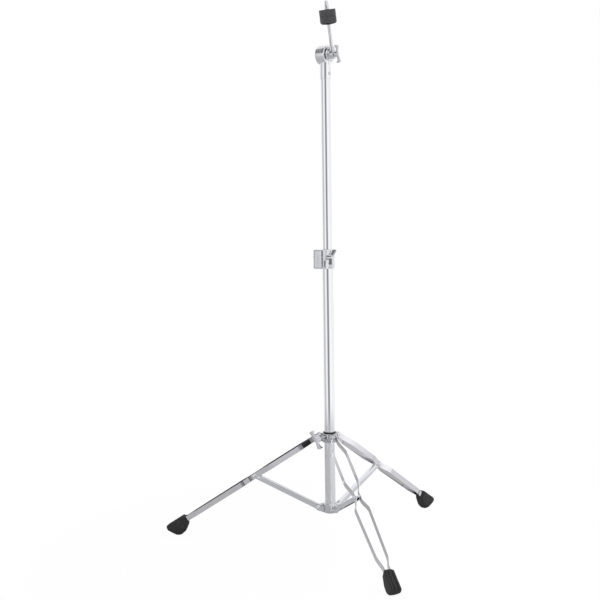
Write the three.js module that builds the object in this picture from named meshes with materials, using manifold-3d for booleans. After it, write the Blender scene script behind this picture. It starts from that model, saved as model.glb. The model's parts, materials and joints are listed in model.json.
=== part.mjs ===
// Straight cymbal stand with a folding tripod of braced strip legs. Millimetres, +Z up.
// It is built round the axis of its tubes, then centred on its footprint with its feet on z = 0.
import * as THREE from 'three';
import { mergeVertices } from 'three/addons/utils/BufferGeometryUtils.js';
import Module from 'manifold-3d';

const wasm = await Module();
wasm.setup();

// Clearances and the overrun of every cut
const running_gap = 0.3;
const side_gap = 0.6;
const cut_overrun = 4;

// How finely round and bent shapes are cut into facets
const tube_sides = 32;
const drum_sides = 36;
const pin_sides = 14;
const curve_steps = 5;
const bend_steps = 2;

// Colours
const chrome_colour = 0xd9dadc;
const black_rubber_colour = 0x232325;
const black_nylon_colour = 0x1b1b1d;
const felt_colour = 0x48494a;

// The two tubes
const base_tube_diameter = 25.4;
const base_tube_wall = 1.2;
const base_tube_length = 634;
const upper_tube_diameter = 22.2;
const upper_tube_wall = 1.2;
const upper_tube_length = 626;
const upper_tube_insertion = 178;

// Tripod linkage: where its pivots are, and how it stands when open
const leg_slope_deg = 33.25;
const leg_pivot_radius = 26;
const strut_pivot_radius = 27.5;
const leg_to_waist = 196;
const strut_length = 178.5;
const leg_names = ['front', 'right', 'left'];
const leg_azimuths_deg = [-90, 30, 150];

// Leg strips: a pair of flat bars on edge, bowed apart above and below the waist
const strip_thickness = 1.8;
const strip_depth = 13;
const strip_bend_length = 7;
const upper_bow = 17;
const lower_bow_at_waist_end = 17;
const lower_bow_at_foot_end = 13.5;
const upper_bow_start = 20;
const upper_bow_full = 52;
const upper_bow_end = 153;
const waist_flat = 24;
const lower_bow_full = 236;
const lower_bow_end = 377;
const leg_to_foot_mouth = 411;
const foot_mouth_to_last_bend = 9;
const strip_reach_in_foot = 32;

// Struts: channels, open underneath, between the strips
const strut_width = 10;
const strut_depth = 12;
const strut_gauge = 1.5;
const strut_web_setback = 11;

// Rivets and pins of the tripod
const pin_diameter = 6;
const rivet_head_diameter = 10;
const rivet_head_height = 2.2;
const rivet_crown_share = 0.55;

// Rubber feet, measured from the mouth along the leg and square to it
const foot_length = 60;
const foot_rise = 14.5;
const foot_mouth_lip = 1.4;
const foot_mouth_bevel = 6;
const foot_nose_setback = 7;
const foot_heel_along = 24;
const foot_heel_drop = 26.3;
const foot_throat_along = 4;
const foot_throat_drop = 11.4;
const foot_sole_along = 44.5;
const foot_sole_drop = 23.5;
const foot_sole_length = 11;
const foot_mouth_width = 25;
const foot_toe_width = 30;
const foot_corner = 7;
const foot_groove_width = 1.6;
const foot_groove_depth = 0.9;
const foot_groove_spacing = 9;

// Lower hub, fixed round the foot of the base tube
const hub_height = 22;
const hub_wall = 3;
const hub_tube_overhang = 1.5;
const clevis_gauge = 2.5;
const clevis_eye_radius = 7;
const clevis_root_web = 2;

// Sliding leg collar and its nylon bush
const collar_height = 21.5;
const collar_top_over_pivot = 5;
const collar_wall = 2.6;
const bush_wall = 1.6;
const bush_rise = 5;
const collar_lug_eye_radius = 6.2;
const collar_boss_radius = 6.5;
const collar_boss_reach = 33;
const collar_boss_below_top = 7;
const collar_screw_azimuth_deg = 210;
const collar_screw_diameter = 8;
const collar_screw_showing = 6;
const collar_wing_turn_deg = -41;

// Height clamp round the top of the base tube
const clamp_height = 46;
const clamp_outer_radius = 16.5;
const clamp_azimuth_deg = -47.3;
const clamp_bolt_offset = 20;
const clamp_bolt_diameter = 6;
const clamp_bolt_head_diameter = 11;
const clamp_bolt_head_height = 4;
const clamp_bolt_over_middle = 5;
const clamp_block_reach = 26;
const clamp_block_half_depth = 8;
const clamp_block_corner = 6;
const clamp_ear_reach = 10.5;
const clamp_ear_corner = 3;
const clamp_slit = 3;
const clamp_rib_count = 4;
const clamp_rib_groove_width = 1.8;
const clamp_rib_groove_depth = 0.8;
const clamp_rim_height = 4;
const clamp_rim_inset = 0.9;
const tube_depth_in_clamp = 30;
const clamp_bush_flange = 1.2;
const clamp_bush_flange_reach = 1.8;
const clamp_wing_turn_deg = 56;

// Guide plug in the foot of the upper tube
const guide_plug_flange = 9;
const guide_plug_spigot = 22;

// Tilter: neck and drum on the upper tube
const tilter_azimuth_deg = -54.3;
const neck_wall = 1.2;
const neck_height = 36;
const neck_tube_depth = 26;
const neck_screw_diameter = 5;
const neck_screw_over_foot = 13;
const neck_screw_head_height = 1.6;
const drum_radius = 22.5;
const drum_width = 24.4;
const drum_groove_count = 3;
const drum_groove_width = 1.5;
const drum_groove_depth = 0.9;
const drum_groove_spacing = 4.2;
const drum_edge = 1.5;
const drum_recess_radius = 18;
const drum_recess_depth = 7;
const tilter_bolt_diameter = 6;
const tilter_bolt_head_diameter = 14;
const tilter_bolt_head_height = 3.5;

// Tilter arm, which holds the rod
const arm_disc_radius = 15.5;
const arm_disc_stand_off = 2;
const arm_block_width = 13.5;
const arm_block_radius = 11;
const arm_head_half_width = 8;
const arm_head_height = 17;
const arm_head_corner = 4;
const rod_tilt_deg = 11;
const rod_foot_height = 6;
const tilter_wing_turn_deg = 99;

// Cymbal rod and what is stacked on it, measured from the tilter's axis
const rod_diameter = 8;
const rod_thread_diameter = 6;
const rod_shoulder_height = 69;
const rod_top_height = 121;
const rod_chamfer = 0.8;
const seat_washer_diameter = 34;
const seat_washer_gauge = 1.6;
const seat_washer_cup_depth = 1.6;
const seat_washer_boss_diameter = 16;
const felt_diameter = 39;
const felt_height = 15.3;
const felt_edge = 1.2;
const sleeve_wall = 1.3;
const top_wing_turn_deg = 75;

// Wing nuts and wing screws: each has a hub and two wings that flare away from it
const large_wing_half_span = 26;
const large_wing_rise = 18;
const large_wing_hub_radius = 7;
const large_wing_gauge = 5;
const middle_wing_half_span = 21;
const middle_wing_rise = 19;
const small_wing_half_span = 20;
const small_wing_rise = 14.5;
const middle_wing_hub_radius = 6.5;
const middle_wing_gauge = 4.5;
const top_wing_half_span = 13.5;
const top_wing_rise = 21;
const top_wing_hub_radius = 5.5;
const top_wing_gauge = 3;
const wing_hub_height_share = 0.62;
const wing_hub_top_radius_share = 0.82;
const wing_root_height_share = 0.1;
const wing_root_top_share = 0.55;
const wing_tip_low_share = 0.42;
const wing_tip_low_span_share = 0.9;
const wing_tip_high_span_share = 0.84;
const wing_tip_bulge_share = 1.1;
const wing_underside_span_share = 0.55;
const wing_underside_height_share = 0.12;
const wing_saddle_span_share = 0.4;
const wing_saddle_height_share = 0.56;
const bolt_end_over_nut = 2;

// Linkage worked out from the driving sizes
const radians = Math.PI / 180;
const leg_slope = leg_slope_deg * radians;
const base_tube_radius = base_tube_diameter / 2;
const base_tube_bore = base_tube_radius - base_tube_wall;
const upper_tube_radius = upper_tube_diameter / 2;
const upper_tube_bore = upper_tube_radius - upper_tube_wall;
const waist_radius = leg_pivot_radius + leg_to_waist * Math.cos(leg_slope);
const strut_slope = Math.acos((waist_radius - strut_pivot_radius) / strut_length);
const sole_along_leg = leg_to_foot_mouth + foot_sole_along;
const leg_pivot_height = sole_along_leg * Math.sin(leg_slope) + foot_sole_drop * Math.cos(leg_slope);
const strut_pivot_height = leg_pivot_height
  - leg_to_waist * Math.sin(leg_slope) - strut_length * Math.sin(strut_slope);
const strip_middle = strut_width / 2 + side_gap + strip_thickness / 2;
const strip_inner_face = strip_middle - strip_thickness / 2;
const strip_outer_face = strip_middle + strip_thickness / 2;
const pin_radius = pin_diameter / 2;
const pin_hole_radius = pin_radius + running_gap;

// Heights of the fixed pieces above the floor
const hub_bottom = strut_pivot_height - hub_height / 2;
const base_tube_bottom = hub_bottom + hub_tube_overhang;
const base_tube_top = base_tube_bottom + base_tube_length;
const clamp_bottom = base_tube_top - tube_depth_in_clamp;
const upper_tube_bottom = base_tube_top - upper_tube_insertion;
const upper_tube_top = upper_tube_bottom + upper_tube_length;
const neck_bottom = upper_tube_top - neck_tube_depth;
const tilter_height = neck_bottom + neck_height + drum_radius - drum_edge;

// Materials
function finish(colour, roughness, metalness) {
  return () => new THREE.MeshStandardMaterial({ color: colour, roughness, metalness });
}
const chrome = finish(chrome_colour, 0.12, 1);
const black_rubber = finish(black_rubber_colour, 0.7, 0);
const black_nylon = finish(black_nylon_colour, 0.45, 0);
const felt = finish(felt_colour, 0.95, 0);

// Turns a closed three.js geometry into a solid that can be joined and cut.
function solidOf(geometry) {
  const bare = geometry.clone();
  bare.deleteAttribute('normal');
  bare.deleteAttribute('uv');
  const merged = mergeVertices(bare);
  const corners = merged.index.array;
  const triangles = [];
  for (let i = 0; i < corners.length; i += 3) {
    const [a, b, c] = [corners[i], corners[i + 1], corners[i + 2]];
    if (a !== b && b !== c && c !== a) triangles.push(a, b, c);
  }
  return new wasm.Manifold(new wasm.Mesh({
    numProp: 3,
    vertProperties: new Float32Array(merged.attributes.position.array),
    triVerts: new Uint32Array(triangles),
  }));
}

// Turns a solid back into a three.js geometry with flat facets.
function geometryOf(solid) {
  const mesh = solid.getMesh();
  const indexed = new THREE.BufferGeometry();
  indexed.setAttribute('position', new THREE.BufferAttribute(new Float32Array(mesh.vertProperties), 3));
  indexed.setIndex(new THREE.BufferAttribute(new Uint32Array(mesh.triVerts), 1));
  const faceted = indexed.toNonIndexed();
  faceted.computeVertexNormals();
  return faceted;
}

// A solid of revolution about Z from [radius, height] points that close on themselves.
function turned(points, sides) {
  const profile = [...points, points[0]].map(([radius, height]) => new THREE.Vector2(radius, height));
  return solidOf(new THREE.LatheGeometry(profile, sides).rotateX(Math.PI / 2));
}

// A plain round bar along Z.
function bar(radius, low, high, sides) {
  return turned([[0, low], [radius, low], [radius, high], [0, high]], sides);
}

// A plain tube along Z.
function pipe(inner, outer, low, high, sides) {
  return turned([[inner, low], [outer, low], [outer, high], [inner, high]], sides);
}

// A shape in the XY plane, extruded along Z from low to high.
function upright(shape, low, high) {
  const geometry = new THREE.ExtrudeGeometry(shape, {
    depth: high - low,
    bevelEnabled: false,
    curveSegments: curve_steps,
  });
  return solidOf(geometry.translate(0, 0, low));
}

// A shape whose x is along X and whose y is along Z, extruded to a width centred on Y.
function sideways(shape, width) {
  const geometry = new THREE.ExtrudeGeometry(shape, {
    depth: width,
    bevelEnabled: false,
    curveSegments: curve_steps,
  });
  return solidOf(geometry.translate(0, 0, -width / 2).rotateX(Math.PI / 2));
}

// A box between two corners.
function block(low, high) {
  const size = high.map((value, axis) => value - low[axis]);
  const middle = high.map((value, axis) => (value + low[axis]) / 2);
  return solidOf(new THREE.BoxGeometry(...size).translate(...middle));
}

// Moves that keep a piece's own frame readable: along Z to along X, and along Z to along Y.
const alongX = solid => solid.rotate([0, 90, 0]);
const alongY = solid => solid.rotate([-90, 0, 0]);

// A side outline with a round eye at its far end, grown from a root of two heights.
function eyeOutline(root, root_low, root_high, eye_along, eye_height, eye_radius) {
  const shape = new THREE.Shape();
  shape.moveTo(root, root_low);
  shape.lineTo(eye_along, eye_height - eye_radius);
  shape.absarc(eye_along, eye_height, eye_radius, -Math.PI / 2, Math.PI / 2, false);
  shape.lineTo(root, root_high);
  return shape;
}

// A stadium outline from one round end at x = 0 to another at x = length.
function stadium(length, radius) {
  const shape = new THREE.Shape();
  shape.moveTo(0, -radius);
  shape.lineTo(length, -radius);
  shape.absarc(length, 0, radius, -Math.PI / 2, Math.PI / 2, false);
  shape.lineTo(0, radius);
  shape.absarc(0, 0, radius, Math.PI / 2, Math.PI * 1.5, false);
  return shape;
}

// A rectangle with rounded corners.
function roundedRectangle(x_low, x_high, y_low, y_high, corner) {
  const shape = new THREE.Shape();
  shape.moveTo(x_low + corner, y_low);
  shape.lineTo(x_high - corner, y_low);
  shape.absarc(x_high - corner, y_low + corner, corner, -Math.PI / 2, 0, false);
  shape.lineTo(x_high, y_high - corner);
  shape.absarc(x_high - corner, y_high - corner, corner, 0, Math.PI / 2, false);
  shape.lineTo(x_low + corner, y_high);
  shape.absarc(x_low + corner, y_high - corner, corner, Math.PI / 2, Math.PI, false);
  shape.lineTo(x_low, y_low + corner);
  shape.absarc(x_low + corner, y_low + corner, corner, Math.PI, Math.PI * 1.5, false);
  return shape;
}

// The plan of a bar bent along a line of corners, with each bend eased.
function bentBar(corners, bend_length, thickness) {
  const points = corners.map(([x, y]) => new THREE.Vector2(x, y));
  const path = new THREE.Path();
  path.moveTo(points[0].x, points[0].y);
  for (let i = 1; i < points.length - 1; i++) {
    const corner = points[i];
    const before = points[i - 1].clone().sub(corner).setLength(bend_length).add(corner);
    const after = points[i + 1].clone().sub(corner).setLength(bend_length).add(corner);
    path.lineTo(before.x, before.y);
    path.quadraticCurveTo(corner.x, corner.y, after.x, after.y);
  }
  path.lineTo(points.at(-1).x, points.at(-1).y);
  const line = path.getPoints(bend_steps);
  const edge = offset => line.map((point, i) => {
    const next = line[Math.min(i + 1, line.length - 1)];
    const last = line[Math.max(i - 1, 0)];
    const along = next.clone().sub(last).normalize();
    return new THREE.Vector2(point.x - along.y * offset, point.y + along.x * offset);
  });
  return new THREE.Shape([...edge(-thickness / 2), ...edge(thickness / 2).reverse()]);
}

// A domed rivet head standing on z = base.
function rivetHead(base, radius) {
  const rim = base + rivet_head_height * (1 - rivet_crown_share);
  const crown = radius * rivet_crown_share;
  return turned([[0, base], [radius, base], [radius, rim],
    [crown, base + rivet_head_height], [0, base + rivet_head_height]], pin_sides);
}

// A pin along Y with a head at each end, gripping a stack of the given half width.
function headedPin(half_width) {
  const head = rivetHead(half_width, rivet_head_diameter / 2);
  const shank = bar(pin_radius, -half_width, half_width, pin_sides);
  return alongY(shank.add(head).add(head.mirror([0, 0, 1])));
}

// Two wings and a hub that stand on z = 0, with the wings spread along X.
function wings({ half_span, rise, hub_radius, gauge }) {
  const low = rise * wing_tip_low_share;
  const shape = new THREE.Shape();
  shape.moveTo(0, rise * wing_root_height_share);
  for (const side of [1, -1]) {
    const span = half_span * side;
    const under = [span * wing_underside_span_share, rise * wing_underside_height_share];
    const tip_low = [span * wing_tip_low_span_share, low];
    const bulge = [span * wing_tip_bulge_share, (low + rise) / 2];
    const tip_high = [span * wing_tip_high_span_share, rise];
    const saddle = [span * wing_saddle_span_share, rise * wing_saddle_height_share];
    if (side > 0) {
      shape.quadraticCurveTo(...under, ...tip_low);
      shape.quadraticCurveTo(...bulge, ...tip_high);
      shape.quadraticCurveTo(...saddle, 0, rise * wing_root_top_share);
    } else {
      shape.quadraticCurveTo(...saddle, ...tip_high);
      shape.quadraticCurveTo(...bulge, ...tip_low);
      shape.quadraticCurveTo(...under, 0, rise * wing_root_height_share);
    }
  }
  const hub_height = rise * wing_hub_height_share;
  const hub = turned([[0, 0], [hub_radius, 0], [hub_radius * wing_hub_top_radius_share, hub_height],
    [0, hub_height]], pin_sides);
  return hub.add(sideways(shape, gauge));
}

const large_wings = {
  half_span: large_wing_half_span,
  rise: large_wing_rise,
  hub_radius: large_wing_hub_radius,
  gauge: large_wing_gauge,
};
const middle_wings = {
  half_span: middle_wing_half_span,
  rise: middle_wing_rise,
  hub_radius: middle_wing_hub_radius,
  gauge: middle_wing_gauge,
};
const small_wings = { ...middle_wings, half_span: small_wing_half_span, rise: small_wing_rise };
const top_wings = {
  half_span: top_wing_half_span,
  rise: top_wing_rise,
  hub_radius: top_wing_hub_radius,
  gauge: top_wing_gauge,
};

// The scene graph
const stand = new THREE.Group();

function addPiece(parent, name, solid, material) {
  const mesh = new THREE.Mesh(geometryOf(solid), material());
  mesh.name = name;
  parent.add(mesh);
  return mesh;
}

function frameAt(parent, x, y, z) {
  const frame = new THREE.Group();
  frame.position.set(x, y, z);
  parent.add(frame);
  return frame;
}

// Base tube
addPiece(stand, 'base_tube',
  pipe(base_tube_bore, base_tube_radius, base_tube_bottom, base_tube_top, tube_sides), chrome);

// Lower hub: a ring with a clevis for each strut
function strutHub() {
  const bore = base_tube_radius + running_gap;
  const outer = bore + hub_wall;
  const half = hub_height / 2;
  const slot = strut_width / 2 + side_gap;
  let hub = pipe(bore, outer, -half, half, tube_sides);
  const outline = eyeOutline(bore + hub_wall / 2, -half, half, strut_pivot_radius, 0, clevis_eye_radius);
  const reach = strut_pivot_radius + clevis_eye_radius + cut_overrun;
  const ears = sideways(outline, 2 * (slot + clevis_gauge))
    .subtract(block([outer + clevis_root_web, -slot, -half - cut_overrun], [reach, slot, half + cut_overrun]))
    .subtract(alongY(bar(pin_hole_radius, -reach, reach, pin_sides)).translate([strut_pivot_radius, 0, 0]));
  for (const azimuth of leg_azimuths_deg) hub = hub.add(ears.rotate([0, 0, azimuth]));
  return hub;
}
const hub_frame = frameAt(stand, 0, 0, strut_pivot_height);
addPiece(hub_frame, 'strut_hub', strutHub(), chrome);

// Leg collar: a ring with a lug for each leg and a boss for the wing screw
const bush_inner = base_tube_radius + running_gap;
const bush_outer = bush_inner + bush_wall;
const collar_bore = bush_outer + running_gap;
const collar_outer = collar_bore + collar_wall;
const collar_bottom = collar_top_over_pivot - collar_height;
const collar_screw_height = collar_top_over_pivot - collar_boss_below_top;
const collar_screw_radius = collar_screw_diameter / 2;

function legCollar() {
  const outline = eyeOutline(collar_bore + collar_wall / 2, collar_bottom, collar_top_over_pivot,
    leg_pivot_radius, 0, collar_lug_eye_radius);
  const lug = sideways(outline, strut_width)
    .subtract(alongY(bar(pin_hole_radius, -strut_width, strut_width, pin_sides))
      .translate([leg_pivot_radius, 0, 0]));
  const boss = alongX(bar(collar_boss_radius, collar_bore + collar_wall / 2, collar_boss_reach, pin_sides));
  const screw_hole = alongX(bar(collar_screw_radius + running_gap, 0, collar_boss_reach + cut_overrun,
    pin_sides));
  const place = solid => solid.translate([0, 0, collar_screw_height]).rotate([0, 0, collar_screw_azimuth_deg]);
  let collar = pipe(collar_bore, collar_outer, collar_bottom, collar_top_over_pivot, tube_sides)
    .add(place(boss));
  for (const azimuth of leg_azimuths_deg) collar = collar.add(lug.rotate([0, 0, azimuth]));
  return collar.subtract(place(screw_hole));
}
const collar_frame = frameAt(stand, 0, 0, leg_pivot_height);
addPiece(collar_frame, 'leg_collar', legCollar(), chrome);
addPiece(collar_frame, 'collar_bush',
  pipe(bush_inner, bush_outer, collar_bottom, collar_top_over_pivot + bush_rise, tube_sides), black_nylon);

// Wing screw of the collar: its tip bears on the bush
function collarWingScrew() {
  const tip = bush_outer + running_gap;
  const foot = collar_boss_reach + collar_screw_showing;
  return wings(large_wings).rotate([0, 0, 90])
    .add(bar(collar_screw_radius, tip - foot, large_wing_rise * wing_root_height_share, pin_sides));
}
const collar_screw_frame = frameAt(collar_frame, 0, 0, collar_screw_height);
collar_screw_frame.rotation.z = collar_screw_azimuth_deg * radians;
const collar_wing_frame = frameAt(collar_screw_frame, collar_boss_reach + collar_screw_showing, 0, 0);
collar_wing_frame.rotation.set(0, Math.PI / 2, 0);
const collar_wing = addPiece(collar_wing_frame, 'collar_wing_screw', collarWingScrew(), chrome);
collar_wing.rotation.z = -collar_wing_turn_deg * radians;

// One leg strip, in the leg's own frame: X along the leg from the collar pivot, Y to its side
function legStrip(side) {
  const waist_low = leg_to_waist - waist_flat / 2;
  const waist_high = leg_to_waist + waist_flat / 2;
  const strip_end = leg_to_foot_mouth + strip_reach_in_foot;
  const corners = [
    [-strip_depth, strip_middle],
    [upper_bow_start, strip_middle],
    [upper_bow_full, upper_bow],
    [upper_bow_end, upper_bow],
    [waist_low, strip_middle],
    [waist_high, strip_middle],
    [lower_bow_full, lower_bow_at_waist_end],
    [lower_bow_end, lower_bow_at_foot_end],
    [leg_to_foot_mouth - foot_mouth_to_last_bend, strip_middle],
    [strip_end, strip_middle],
  ].map(([along, out]) => [along, out * side]);
  const half = strip_depth / 2;
  const plan = upright(bentBar(corners, strip_bend_length, strip_thickness), -half, half);
  const elevation = sideways(stadium(strip_end + strip_depth, half), 4 * upper_bow);
  const hole = alongY(bar(pin_hole_radius, -2 * upper_bow, 2 * upper_bow, pin_sides));
  return plan.intersect(elevation).subtract(hole).subtract(hole.translate([leg_to_waist, 0, 0]));
}

// A short rivet through one strip at the waist. It ends flush with the strip's inner face.
function waistRivet(side) {
  const head = rivetHead(strip_outer_face + running_gap, rivet_head_diameter / 2);
  const rivet = head.add(bar(pin_radius, strip_inner_face, strip_outer_face + running_gap, pin_sides));
  const facing = side > 0 ? rivet : rivet.mirror([0, 0, 1]);
  return alongY(facing).translate([leg_to_waist, 0, 0]);
}

// Rubber foot: its side outline and its plan are cut from one block, with a slot for each strip
function rubberFoot() {
  const mouth = strip_depth / 2 + foot_mouth_lip;
  const sole_x = foot_sole_length / 2 * Math.cos(leg_slope);
  const sole_z = foot_sole_length / 2 * Math.sin(leg_slope);
  const toe = [foot_sole_along + sole_x, sole_z - foot_sole_drop];
  const heel = [foot_sole_along - sole_x, -sole_z - foot_sole_drop];
  const side = new THREE.Shape();
  side.moveTo(0, -mouth);
  side.lineTo(foot_throat_along, -foot_throat_drop);
  side.lineTo(foot_heel_along, -foot_heel_drop);
  side.quadraticCurveTo(heel[0] - sole_x, heel[1] - sole_z, ...heel);
  side.lineTo(...toe);
  side.quadraticCurveTo(foot_length, toe[1] / 2, foot_length, 0);
  side.quadraticCurveTo(foot_length, foot_rise, foot_length - foot_nose_setback, foot_rise);
  side.lineTo(foot_mouth_bevel, foot_rise);
  side.lineTo(0, mouth);

  const mouth_half = foot_mouth_width / 2;
  const toe_half = foot_toe_width / 2;
  const plan = new THREE.Shape();
  plan.moveTo(0, -mouth_half + foot_mouth_bevel);
  plan.quadraticCurveTo(0, -mouth_half, foot_mouth_bevel, -mouth_half);
  plan.lineTo(foot_length - foot_corner, -toe_half);
  plan.quadraticCurveTo(foot_length, -toe_half, foot_length, foot_corner - toe_half);
  plan.lineTo(foot_length, toe_half - foot_corner);
  plan.quadraticCurveTo(foot_length, toe_half, foot_length - foot_corner, toe_half);
  plan.lineTo(foot_mouth_bevel, mouth_half);
  plan.quadraticCurveTo(0, mouth_half, 0, mouth_half - foot_mouth_bevel);

  let foot = sideways(side, 2 * foot_toe_width)
    .intersect(upright(plan, -2 * foot_heel_drop, 2 * foot_rise));
  const slot_reach = strip_reach_in_foot + running_gap;
  const slot_half = strip_depth / 2 + running_gap;
  for (const hand of [1, -1]) {
    const faces = [strip_inner_face - running_gap, strip_outer_face + running_gap].map(face => face * hand);
    foot = foot.subtract(block([-cut_overrun, Math.min(...faces), -slot_half],
      [slot_reach, Math.max(...faces), slot_half]));
    const groove = foot_groove_spacing / 2 * hand;
    foot = foot.subtract(block(
      [foot_mouth_bevel, groove - foot_groove_width / 2, foot_rise - foot_groove_depth],
      [foot_length, groove + foot_groove_width / 2, foot_rise + cut_overrun]));
  }
  return foot;
}

// Strut channel, in the strut's own frame: X along it from the hub pivot
function strutChannel() {
  const half_depth = strut_depth / 2;
  const inner = strut_width / 2 - strut_gauge;
  const far = strut_length + strut_depth;
  const hole = alongY(bar(pin_hole_radius, -strut_width, strut_width, pin_sides));
  return sideways(stadium(strut_length, half_depth), strut_width)
    .subtract(block([-strut_depth, -inner, -strut_depth], [far, inner, half_depth - strut_gauge]))
    .subtract(block([-strut_depth, -inner, -strut_depth], [strut_web_setback, inner, strut_depth]))
    .subtract(block([strut_length - strut_web_setback, -inner, -strut_depth], [far, inner, strut_depth]))
    .subtract(hole)
    .subtract(hole.translate([strut_length, 0, 0]));
}

// The three legs with their struts, pins and feet
const leg_strip_left = legStrip(1);
const leg_strip_right = legStrip(-1);
const waist_rivet_left = waistRivet(1);
const waist_rivet_right = waistRivet(-1);
const leg_pin = headedPin(strip_outer_face + running_gap);
const strut_pin = headedPin(strut_width / 2 + side_gap + clevis_gauge + running_gap);
const rubber_foot = rubberFoot();
const strut_channel = strutChannel();
leg_names.forEach((name, index) => {
  const azimuth = leg_azimuths_deg[index] * radians;

  const leg_plane = frameAt(collar_frame, 0, 0, 0);
  leg_plane.rotation.z = azimuth;
  const leg = frameAt(leg_plane, leg_pivot_radius, 0, 0);
  leg.rotation.y = leg_slope;
  addPiece(leg, `${name}_leg_left_strip`, leg_strip_left, chrome);
  addPiece(leg, `${name}_leg_right_strip`, leg_strip_right, chrome);
  addPiece(leg, `${name}_waist_left_rivet`, waist_rivet_left, chrome);
  addPiece(leg, `${name}_waist_right_rivet`, waist_rivet_right, chrome);
  const foot = frameAt(leg, leg_to_foot_mouth, 0, 0);
  addPiece(foot, `${name}_rubber_foot`, rubber_foot, black_rubber);
  const leg_pin_frame = frameAt(leg_plane, leg_pivot_radius, 0, 0);
  addPiece(leg_pin_frame, `${name}_leg_pin`, leg_pin, chrome);

  const strut_plane = frameAt(hub_frame, 0, 0, 0);
  strut_plane.rotation.z = azimuth;
  const strut = frameAt(strut_plane, strut_pivot_radius, 0, 0);
  addPiece(strut, `${name}_strut_pin`, strut_pin, chrome);
  const strut_turn = frameAt(strut, 0, 0, 0);
  strut_turn.rotation.y = -strut_slope;
  addPiece(strut_turn, `${name}_strut`, strut_channel, chrome);
});

// Height clamp, in its own frame: Z up the tube, X along the bolt towards the wing nut
const clamp_bore = base_tube_radius + running_gap;
const clamp_bolt_height = clamp_height / 2 + clamp_bolt_over_middle;
const clamp_bolt_radius = clamp_bolt_diameter / 2;
const clamp_bolt_head_radius = clamp_bolt_head_diameter / 2;

function heightClamp() {
  const block_front = -clamp_bolt_offset - clamp_block_half_depth;
  const ring = turned([
    [clamp_bore, 0],
    [clamp_outer_radius - clamp_rim_inset, 0],
    [clamp_outer_radius, clamp_rim_height],
    [clamp_outer_radius, clamp_height - clamp_rim_height],
    [clamp_outer_radius - clamp_rim_inset, clamp_height],
    [clamp_bore, clamp_height],
  ], tube_sides);
  const long_ear = upright(roundedRectangle(-clamp_block_reach, 0, block_front, 0, clamp_block_corner),
    0, clamp_height);
  const short_ear = upright(roundedRectangle(-clamp_ear_reach, clamp_ear_reach, block_front, 0,
    clamp_ear_corner), 0, clamp_height);
  let clamp = ring.add(long_ear).add(short_ear);
  const rib_pitch = (clamp_block_reach - clamp_block_corner) / clamp_rib_count;
  for (let i = 0; i < clamp_rib_count; i++) {
    const middle = -clamp_block_reach + clamp_block_corner + rib_pitch * i;
    clamp = clamp.subtract(block(
      [middle - clamp_rib_groove_width / 2, block_front - cut_overrun, -cut_overrun],
      [middle + clamp_rib_groove_width / 2, block_front + clamp_rib_groove_depth, clamp_height + cut_overrun]));
  }
  const bolt_hole = alongX(bar(clamp_bolt_radius + running_gap, -2 * clamp_block_reach, 2 * clamp_block_reach,
    pin_sides));
  const head_pocket = alongX(bar(clamp_bolt_head_radius + running_gap, -2 * clamp_block_reach,
    -clamp_block_reach + clamp_bolt_head_height + running_gap, pin_sides));
  const slit = clamp_slit / 2;
  return clamp
    .subtract(bar(clamp_bore, -cut_overrun, clamp_height + cut_overrun, tube_sides))
    .subtract(bolt_hole.add(head_pocket).translate([0, -clamp_bolt_offset, clamp_bolt_height]))
    .subtract(block([-slit, block_front - cut_overrun, -cut_overrun],
      [slit, 0, clamp_height + cut_overrun]));
}
const clamp_frame = frameAt(stand, 0, 0, clamp_bottom);
clamp_frame.rotation.z = clamp_azimuth_deg * radians;
addPiece(clamp_frame, 'height_clamp', heightClamp(), chrome);

// Nylon bush that sits on the base tube's end and guides the upper tube
function clampBush() {
  const inner = upper_tube_radius + running_gap;
  const outer = clamp_bore - running_gap;
  const flange = clamp_bore + clamp_bush_flange_reach;
  const foot = tube_depth_in_clamp + running_gap;
  const flange_low = clamp_height + running_gap;
  const flange_high = flange_low + clamp_bush_flange;
  return turned([[inner, foot], [outer, foot], [outer, flange_low], [flange, flange_low],
    [flange, flange_high], [inner, flange_high]], tube_sides);
}
addPiece(clamp_frame, 'clamp_bush', clampBush(), black_nylon);

// Bolt and wing nut of the clamp
const clamp_bolt_frame = frameAt(clamp_frame, 0, -clamp_bolt_offset, clamp_bolt_height);
const nut_bore = running_gap;

function clampBolt() {
  const head_low = -clamp_block_reach;
  const head_high = head_low + clamp_bolt_head_height;
  const end = clamp_ear_reach + running_gap + middle_wing_rise * wing_hub_height_share + bolt_end_over_nut;
  return alongX(bar(clamp_bolt_head_radius, head_low, head_high, pin_sides)
    .add(bar(clamp_bolt_radius, head_low, end, pin_sides)));
}
addPiece(clamp_bolt_frame, 'clamp_bolt', clampBolt(), chrome);

// Wings with a hole through the hub for a bolt of the given radius
function wingNut(form, bolt_radius) {
  return wings(form).subtract(bar(bolt_radius + nut_bore, -cut_overrun, form.rise + cut_overrun, pin_sides));
}
const clamp_wing_frame = frameAt(clamp_bolt_frame, clamp_ear_reach + running_gap, 0, 0);
clamp_wing_frame.rotation.set(0, Math.PI / 2, 0);
const clamp_wing = addPiece(clamp_wing_frame, 'clamp_wing_nut',
  wingNut(middle_wings, clamp_bolt_radius).rotate([0, 0, 90]), chrome);
clamp_wing.rotation.z = -clamp_wing_turn_deg * radians;

// Upper tube with the guide plug in its foot
addPiece(stand, 'upper_tube',
  pipe(upper_tube_bore, upper_tube_radius, upper_tube_bottom, upper_tube_top, tube_sides), chrome);

function guidePlug() {
  const flange = base_tube_bore - running_gap;
  const spigot = upper_tube_bore - running_gap;
  return bar(flange, -running_gap - guide_plug_flange, -running_gap, tube_sides)
    .add(bar(spigot, -running_gap - guide_plug_flange, guide_plug_spigot, tube_sides));
}
const guide_frame = frameAt(stand, 0, 0, upper_tube_bottom);
addPiece(guide_frame, 'guide_plug', guidePlug(), black_nylon);

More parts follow.
